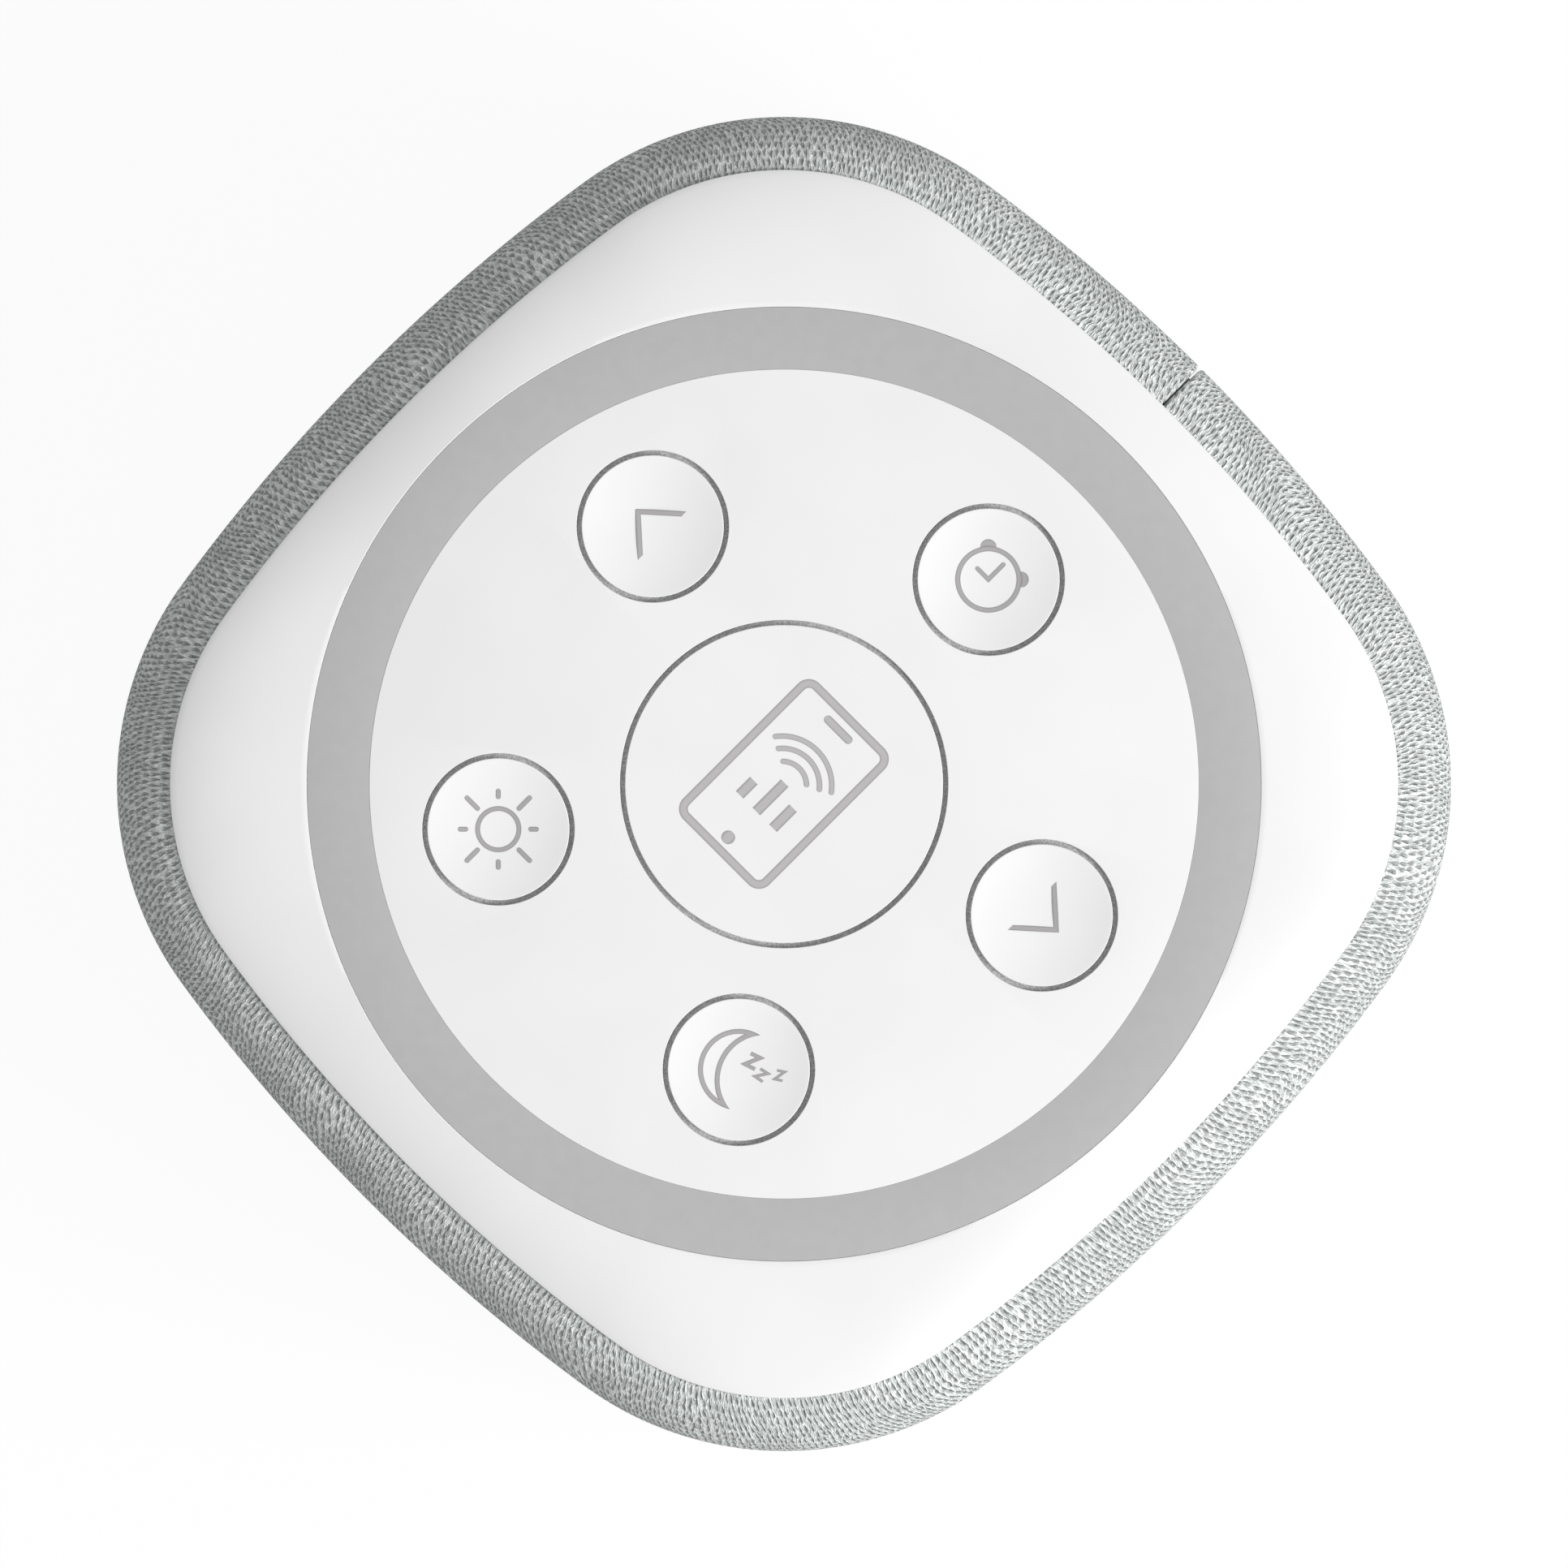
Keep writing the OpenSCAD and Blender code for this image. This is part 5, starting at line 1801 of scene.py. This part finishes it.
def arrow(side: int) -> list[Stroke]:
    """Gives an arrow head that points to the right for 1 and to the left for -1."""
    points = [(-1.13 * side, 2.6), (1.75 * side, 0.0), (-1.13 * side, -2.6)]
    return [Stroke(points, 0.43, Tip.UPRIGHT)]


def clock() -> list[Stroke | Band]:
    """Gives the clock: its rim, its two hands and the two bells that stand out of the rim."""
    hands = [*line((0, 1.79), (0, 0))[:-1], *line((0, 0), (-1.31, 0))]
    return [Stroke(ring_of(2.6), 0.42, Tip.JOINED), Stroke(hands, 0.38), bell(45), bell(135)]


def bell(angle: float, out: float = 2.72, radius: float = 0.69, rim: float = 2.8) -> Band:
    """Gives one of the clock's bells: the part of a small disc that stands out of the rim.

    Args:
        angle: Direction of the bell, in degrees.
        out: Distance of the disc's middle from the clock's.
        radius: The disc's radius.
        rim: The clock's outer radius.

    Returns:
        The bell.
    """
    span = math.acos((out**2 + rim**2 - radius**2) / (2 * out * rim))
    turns = [span * k / 8 for k in range(-8, 9)]
    reach = [out * math.cos(t) + math.sqrt(radius**2 - (out * math.sin(t)) ** 2) for t in turns]
    ways = [math.degrees(t) + angle for t in turns]
    return Band(around(rim, ways), [around(r, [a])[0] for r, a in zip(reach, ways)])


def sun() -> list[Stroke]:
    """Gives the sun: a circle with four long and four short rays.

    Returns:
        The strokes.
    """
    strokes = [Stroke(ring_of(1.75), 0.4, Tip.JOINED)]
    for k in range(8):
        ray = (2.48, 3.755) if k % 2 == 0 else (2.75, 3.23)
        strokes.append(Stroke([around(reach, [45 * k])[0] for reach in ray], 0.41))
    return strokes


def moon() -> list[Stroke | Band]:
    """Gives the sleeping moon: a crescent's outline and three small zigzags.

    Returns:
        The strokes.
    """
    outer, bite, width, half_chord, tilt = 3.44, 3.85, 0.413, 3.39, 202.6
    far, near = math.sqrt(outer**2 - half_chord**2), math.sqrt(bite**2 - half_chord**2)
    back = -far - near
    x = ((outer - width) ** 2 - (bite + width) ** 2 + back**2) / (2 * back)
    y = math.sqrt((outer - width) ** 2 - x**2)
    bulge = [180 - math.degrees(math.atan2(half_chord, far)), math.degrees(math.atan2(y, x))]
    hollow = [math.degrees(math.atan2(h, w)) for h, w in ((half_chord, near), (y, x - back))]
    sides = (
        ((0, 0), outer - width, -bulge[1], bulge[1], 44), ((0, 0), outer, -bulge[0], bulge[0], 44),
        ((back, 0), bite, -hollow[0], hollow[0], 30),
        ((back, 0), bite + width, -hollow[1], hollow[1], 30),
    )
    edges = [turned(arc(*side), tilt) for side in sides]
    return [Band(*edges[:2]), Band(*edges[2:])] + [
        Stroke(course, thick, Tip.SQUARE) for course, thick in (
            (((-0.24, 1.70), (0.60, 1.99), (0.05, 0.71), (0.96, 1.00)), 0.33),
            (((1.25, 1.35), (1.99, 1.51), (1.38, 0.57), (2.16, 0.71)), 0.25),
            (((2.35, 2.25), (2.90, 2.62), (2.72, 1.59), (3.29, 1.95)), 0.22))]


@dataclass
class Keys:
    """The six key caps with their flanges, stems and ribs, and the marks on them.

    Sizes in millimetres. A rib's length is a share of the key's hole.
    """

    bevel: float = 0.045
    flange_low: float = 62.3
    flange_high: float = 63.1
    flange: float = 0.9
    stem_low: float = 60.3
    stem_r: float = 1.7
    rib_low: float = 61.1
    rib: float = 1.4
    rib_share: float = 0.72
    phone_rib_share: float = 0.8

    def cap(self, key: Key) -> Piece:
        """Spins one cap with its dish and adds its crossed ribs.

        Args:
            key: The key.

        Returns:
            The cap, round the upright axis.
        """
        r, wide = key.cap, key.cap + self.flange
        edge = r - self.bevel
        face, steps = edge - 0.04, 28 if key.dish else 8
        section = [
            (0, self.stem_low), (self.stem_r, self.stem_low), (self.stem_r, self.flange_low),
            (wide, self.flange_low), (wide, self.flange_high), (r, self.flange_high),
            (r, TOP - self.bevel), (r - 0.02, TOP - 0.02), (edge, TOP),
        ]
        for k in range(steps, -1, -1):
            section.append((face * k / steps, key.height(face * k / steps, 0)))
        cap = spun(f"{key.name}_cap", section, key.steps)
        long = key.hole * (self.phone_rib_share if key is PHONE else self.rib_share)
        for angle in (45, 135):
            rest()
            bpy.ops.mesh.primitive_plane_add(size=MM, location=(0, 0, self.rib_low * MM))
            rib = bpy.context.object
            edit()
            bpy.ops.transform.resize(value=(long, 1, 1))
            raised(self.rib)
            close("rib")
            rib.rotation_euler = (0, 0, math.radians(angle))
            cap = carved(cap, applied(rib), Cut.TOGETHER)
        return cap

    def build(self, paints: Paints) -> None:
        """Builds the small cap once, copies it, builds the centre cap and lays the marks.

        Args:
            paints: The finishes.
        """
        small = named(self.cap(NEXT), "small_cap")
        for key in SMALL_KEYS:
            self.dress(twin(small, *key.place, key.angle), key, paints)
        bpy.data.objects.remove(small)
        self.dress(self.cap(PHONE), PHONE, paints)
        for mark in (Mark(PHONE, phone(), "mark_ink"), Mark(PREVIOUS, arrow(-1)),
                     Mark(NEXT, arrow(1)), Mark(TIMER, clock()), Mark(LIGHT, sun()),
                     Mark(SLEEP, moon())):
            mark.build(paints)

    def dress(self, cap: Piece, key: Key, paints: Paints) -> None:
        """Smooths a cap and lets it stand for its CAD node.

        Args:
            cap: The cap, in its place.
            key: Its key.
            paints: The finishes.
        """
        smoothed(named(cap, f"{key.name}_cap"), 24)
        paints.stand_in(cap, f"{key.name}_button", f"{key.name}_key", "button_plastic")


@dataclass
class Suspension:
    """The cone's rubber surround and cloth spider, which flex between basket and cone.

    Sizes in millimetres.
    """

    cone_r: float = 18.2
    basket_r: float = 22.6
    rim: float = 0.8
    rim_z: float = 43.6
    rubber: float = 0.4
    glue: float = 0.25
    roll: Span = (18.7, 22.3)
    roll_steps: int = 20
    neck_r: float = 6.95
    foot_r: float = 17.3
    spider_z: float = 36.35
    cloth: float = 0.3
    waves: int = 4
    wave_steps: int = 16
    swell: float = 0.45

    def build(self, paints: Paints) -> None:
        """Makes both pieces, coats them and hides their CAD nodes."""
        self.flex(self.surround(), "cone_surround", "surround_rubber", self.roll, paints)
        self.flex(self.spider(), "cone_spider", "spider_cloth", (self.neck_r, self.foot_r), paints)

    def surround(self) -> Piece:
        """Spins the half roll with its glued rims.

        Returns:
            The surround.
        """
        near, far = self.roll
        middle, reach = (near + far) / 2, (far - near) / 2
        low, high, glued = self.rim_z, self.rim_z + self.rubber, self.rim_z - self.glue
        thin = reach - self.rubber
        turns = [math.pi * k / self.roll_steps for k in range(1, self.roll_steps)]
        over = [(middle - reach * math.cos(a), high + reach * math.sin(a)) for a in turns]
        under = [(middle + thin * math.cos(a), low + thin * math.sin(a)) for a in turns]
        start, stop = self.cone_r - self.rim, self.basket_r + self.rim
        section = [(start, low), (start, high), (near, high), *over, (far, high), (stop, high),
                   (stop, glued), (self.basket_r + 0.2, glued), (far - self.rubber, low), *under,
                   (near + self.rubber, low)]
        course = eased(section, {0: 0.1, 1: 0.1, section.index((stop, high)): 0.12})
        return spun("rubber_surround", [*course, course[0]])

    def spider(self) -> Piece:
        """Spins the waved cloth.

        Returns:
            The spider.
        """
        count = self.wave_steps * self.waves
        under = []
        for k in range(count + 1):
            share = k / count
            lift = self.swell * (1 - math.cos(math.tau * self.waves * share)) / 2
            reach = self.neck_r + (self.foot_r - self.neck_r) * share
            under.append((reach, self.spider_z + lift))
        over = [(r, z + self.cloth) for r, z in reversed(under)]
        return spun("cloth_spider", [*under, *over, under[0]])

    def flex(self, piece: Piece, node: str, slot: str, span: Span, paints: Paints) -> None:
        """Smooths and coats a spun piece, hides its CAD node and puts its place into its mesh.

        Each point's share between the two radii is worked out from its radius, but nothing uses it.

        Args:
            piece: The spun piece.
            node: The CAD node that it stands for.
            slot: The finish, named as the record's slot.
            span: Radii between which each point's share is worked out.
            paints: The finishes.
        """
        smoothed(piece, 35)
        paints.coat(piece, slot)
        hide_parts(node)
        near, far = (Vector((r * MM, 0, self.rim_z * MM)) for r in span)
        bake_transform(piece)
        for spot in piece.data.vertices:
            share = (math.hypot(spot.co.x, spot.co.y) - near.x) / (far.x - near.x)
            share = min(max(share, 0.0), 1.0)
        faces = len(piece.data.polygons)
        log.info("%s stands for %s and flexes, %d faces", piece.name, node, faces)


@dataclass
class InnerWorks:
    """The nodes that keep their CAD shape, by finish."""

    coats: tuple[tuple[str, tuple[str, ...]], ...] = (
        ("screw_steel", ("case_screws", "shell_screws", "panel_screws", "key_board_screws",
                         "speaker_screws", "main_board_screws")),
        ("frame_plastic", ("sleeve_frame",)),
        ("reflector_plastic", ("ring_reflector",)),
        ("led_plastic", ("ring_leds",)),
        ("board_laminate", ("key_board", "main_board")),
        ("switch_plastic", ("switch_bodies", "usb_tongue")),
        ("plunger_plastic", tuple(f"{key.name}_plunger" for key in (PHONE, *SMALL_KEYS))),
        ("box_plastic", ("speaker_box",)),
        ("grommet_rubber", ("lead_grommet",)),
        ("gasket_foam", ("speaker_gasket", "battery_pad")),
        ("basket_steel", ("speaker_basket",)),
        ("yoke_steel", ("magnet_yoke", "magnet_plate")),
        ("magnet_ferrite", ("ferrite_magnet",)),
        ("former_paper", ("coil_former",)),
        ("coil_copper", ("voice_coil",)),
        ("cone_paper", ("speaker_cone", "dust_cap")),
        ("terminal_brass", ("speaker_terminals",)),
        ("chip_resin", ("sound_chip", "amplifier_chip", "power_coil")),
        ("shield_steel", ("radio_module", "usb_shell")),
        ("can_aluminium", ("capacitors",)),
        ("socket_plastic", ("lead_sockets", "ribbon_sockets")),
        ("ribbon_plastic", ("ribbon_cable",)),
        ("battery_foil", ("battery",)),
        ("lead_red", ("battery_lead",)),
        ("lead_black", ("speaker_lead",)),
    )

    def build(self, paints: Paints) -> None:
        """Coats every node that is still shown.

        Args:
            paints: The finishes.
        """
        for finish, nodes in self.coats:
            for node in nodes:
                paints.coat(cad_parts[node], finish)
                log.info("%s keeps its shape in %s", node, finish)


@dataclass
class Studio:
    """Floor, light and camera. Sizes in metres, angles in degrees."""

    distance: float = 4.0
    frame_width: float = 0.13287
    sensor: float = 36.0
    camera_turn: float = 45.0
    aim: float = 0.0625
    ambient: float = 0.454
    floor_width: float = 16.0
    bounce: float = 0.52
    floor_glow: float = 0.93
    key_power: float = 16.0
    key_size: float = 0.78
    key_distance: float = 1.3
    key_height: float = 40.0
    key_way: float = 22.5

    def build(self) -> None:
        """Builds the room's even light, the floor, the soft key light and the camera."""
        for step in (self.room, self.floor, self.key, self.camera):
            step()

    def seen(self, tree: bpy.types.NodeTree, unseen: float, seen: float) -> Socket:
        """Adds a level that differs for what the camera, a gloss or glass sees.

        Args:
            tree: The tree that gets the nodes.
            unseen: The level for all other rays.
            seen: The level for those rays.

        Returns:
            The level.
        """
        path = tree.nodes.new("ShaderNodeLightPath")
        share = path.outputs["Is Camera Ray"]
        for name in ("Is Glossy Ray", "Is Transmission Ray"):
            larger = tree.nodes.new("ShaderNodeMath")
            larger.operation = "MAXIMUM"
            tree.links.new(share, larger.inputs[0])
            tree.links.new(path.outputs[name], larger.inputs[1])
            share = larger.outputs[0]
        level = tree.nodes.new("ShaderNodeMapRange")
        tree.links.new(share, level.inputs["Value"])
        level.inputs["To Min"].default_value = unseen
        level.inputs["To Max"].default_value = seen
        return level.outputs["Result"]

    def room(self) -> None:
        """Lights the room evenly and shows it white."""
        world = bpy.data.worlds.new("room")
        bpy.context.scene.world = world
        world.use_nodes = True
        tree = world.node_tree
        tree.nodes.clear()
        light = tree.nodes.new("ShaderNodeBackground")
        light.inputs["Color"].default_value = (1, 1, 1, 1)
        tree.links.new(self.seen(tree, self.ambient, 1.0), light.inputs["Strength"])
        out = tree.nodes.new("ShaderNodeOutputWorld")
        tree.links.new(light.outputs[0], out.inputs["Surface"])

    def floor(self) -> None:
        """Lays a pale floor that keeps a faint shadow."""
        rest()
        bpy.ops.mesh.primitive_plane_add(size=self.floor_width)
        floor = named(bpy.context.object, "floor")
        material = bpy.data.materials.new("pale_floor")
        material.use_nodes = True
        tree = material.node_tree
        shader = tree.nodes["Principled BSDF"]
        tree.links.new(self.seen(tree, self.bounce, 1.0), shader.inputs["Base Color"])
        shader.inputs["Roughness"].default_value = 0.9
        shader.inputs["Specular IOR Level"].default_value = 0.0
        glow = tree.nodes.new("ShaderNodeEmission")
        blend = tree.nodes.new("ShaderNodeMixShader")
        tree.links.new(self.seen(tree, 0.0, self.floor_glow), blend.inputs["Fac"])
        tree.links.new(shader.outputs[0], blend.inputs[1])
        tree.links.new(glow.outputs[0], blend.inputs[2])
        tree.links.new(blend.outputs[0], tree.nodes["Material Output"].inputs["Surface"])
        floor.data.materials.append(material)

    def key(self) -> None:
        """Hangs a soft key light to the right, which leaves no glare on the plastic."""
        lamp = bpy.data.lights.new("key", "AREA")
        lamp.shape = "DISK"
        lamp.size = self.key_size
        lamp.energy = self.key_power
        holder = bpy.data.objects.new("key", lamp)
        holder.visible_glossy = False
        bpy.context.scene.collection.objects.link(holder)
        rise, way = math.radians(self.key_height), math.radians(self.key_way)
        flat = math.cos(rise)
        source = Vector((flat * math.cos(way), flat * math.sin(way), math.sin(rise)))
        holder.location = source * self.key_distance + Vector((0, 0, self.aim))
        holder.rotation_mode = "QUATERNION"
        holder.rotation_quaternion = source.to_track_quat("Z", "Y")

    def camera(self) -> None:
        """Sets a long lens straight above, turned so that the back faces the upper right."""
        camera = bpy.data.cameras.new("camera")
        camera.sensor_width = self.sensor
        camera.lens = self.sensor * self.distance / self.frame_width
        camera.clip_start, camera.clip_end = 0.1, 50
        holder = bpy.data.objects.new("camera", camera)
        bpy.context.scene.collection.objects.link(holder)
        holder.location = (0, 0, self.aim + self.distance)
        holder.rotation_euler = (0, 0, math.radians(self.camera_turn))
        bpy.context.scene.camera = holder


def main() -> None:
    """Builds the sub-assemblies in order and reports each piece."""
    logging.basicConfig(level=logging.INFO, format="%(name)s: %(message)s")
    bpy.context.scene.view_settings.view_transform = "Standard"
    Studio().build()
    paints = Paints(FINISHES)
    for part in (Sleeve(), TopShell(), BaseShell(), Feet(), Ring(), Panel(), Keys(), Suspension(),
                 InnerWorks()):
        part.build(paints)
        log.info("%s done", type(part).__name__)
    rest()


if __name__ == "__main__":
    main()
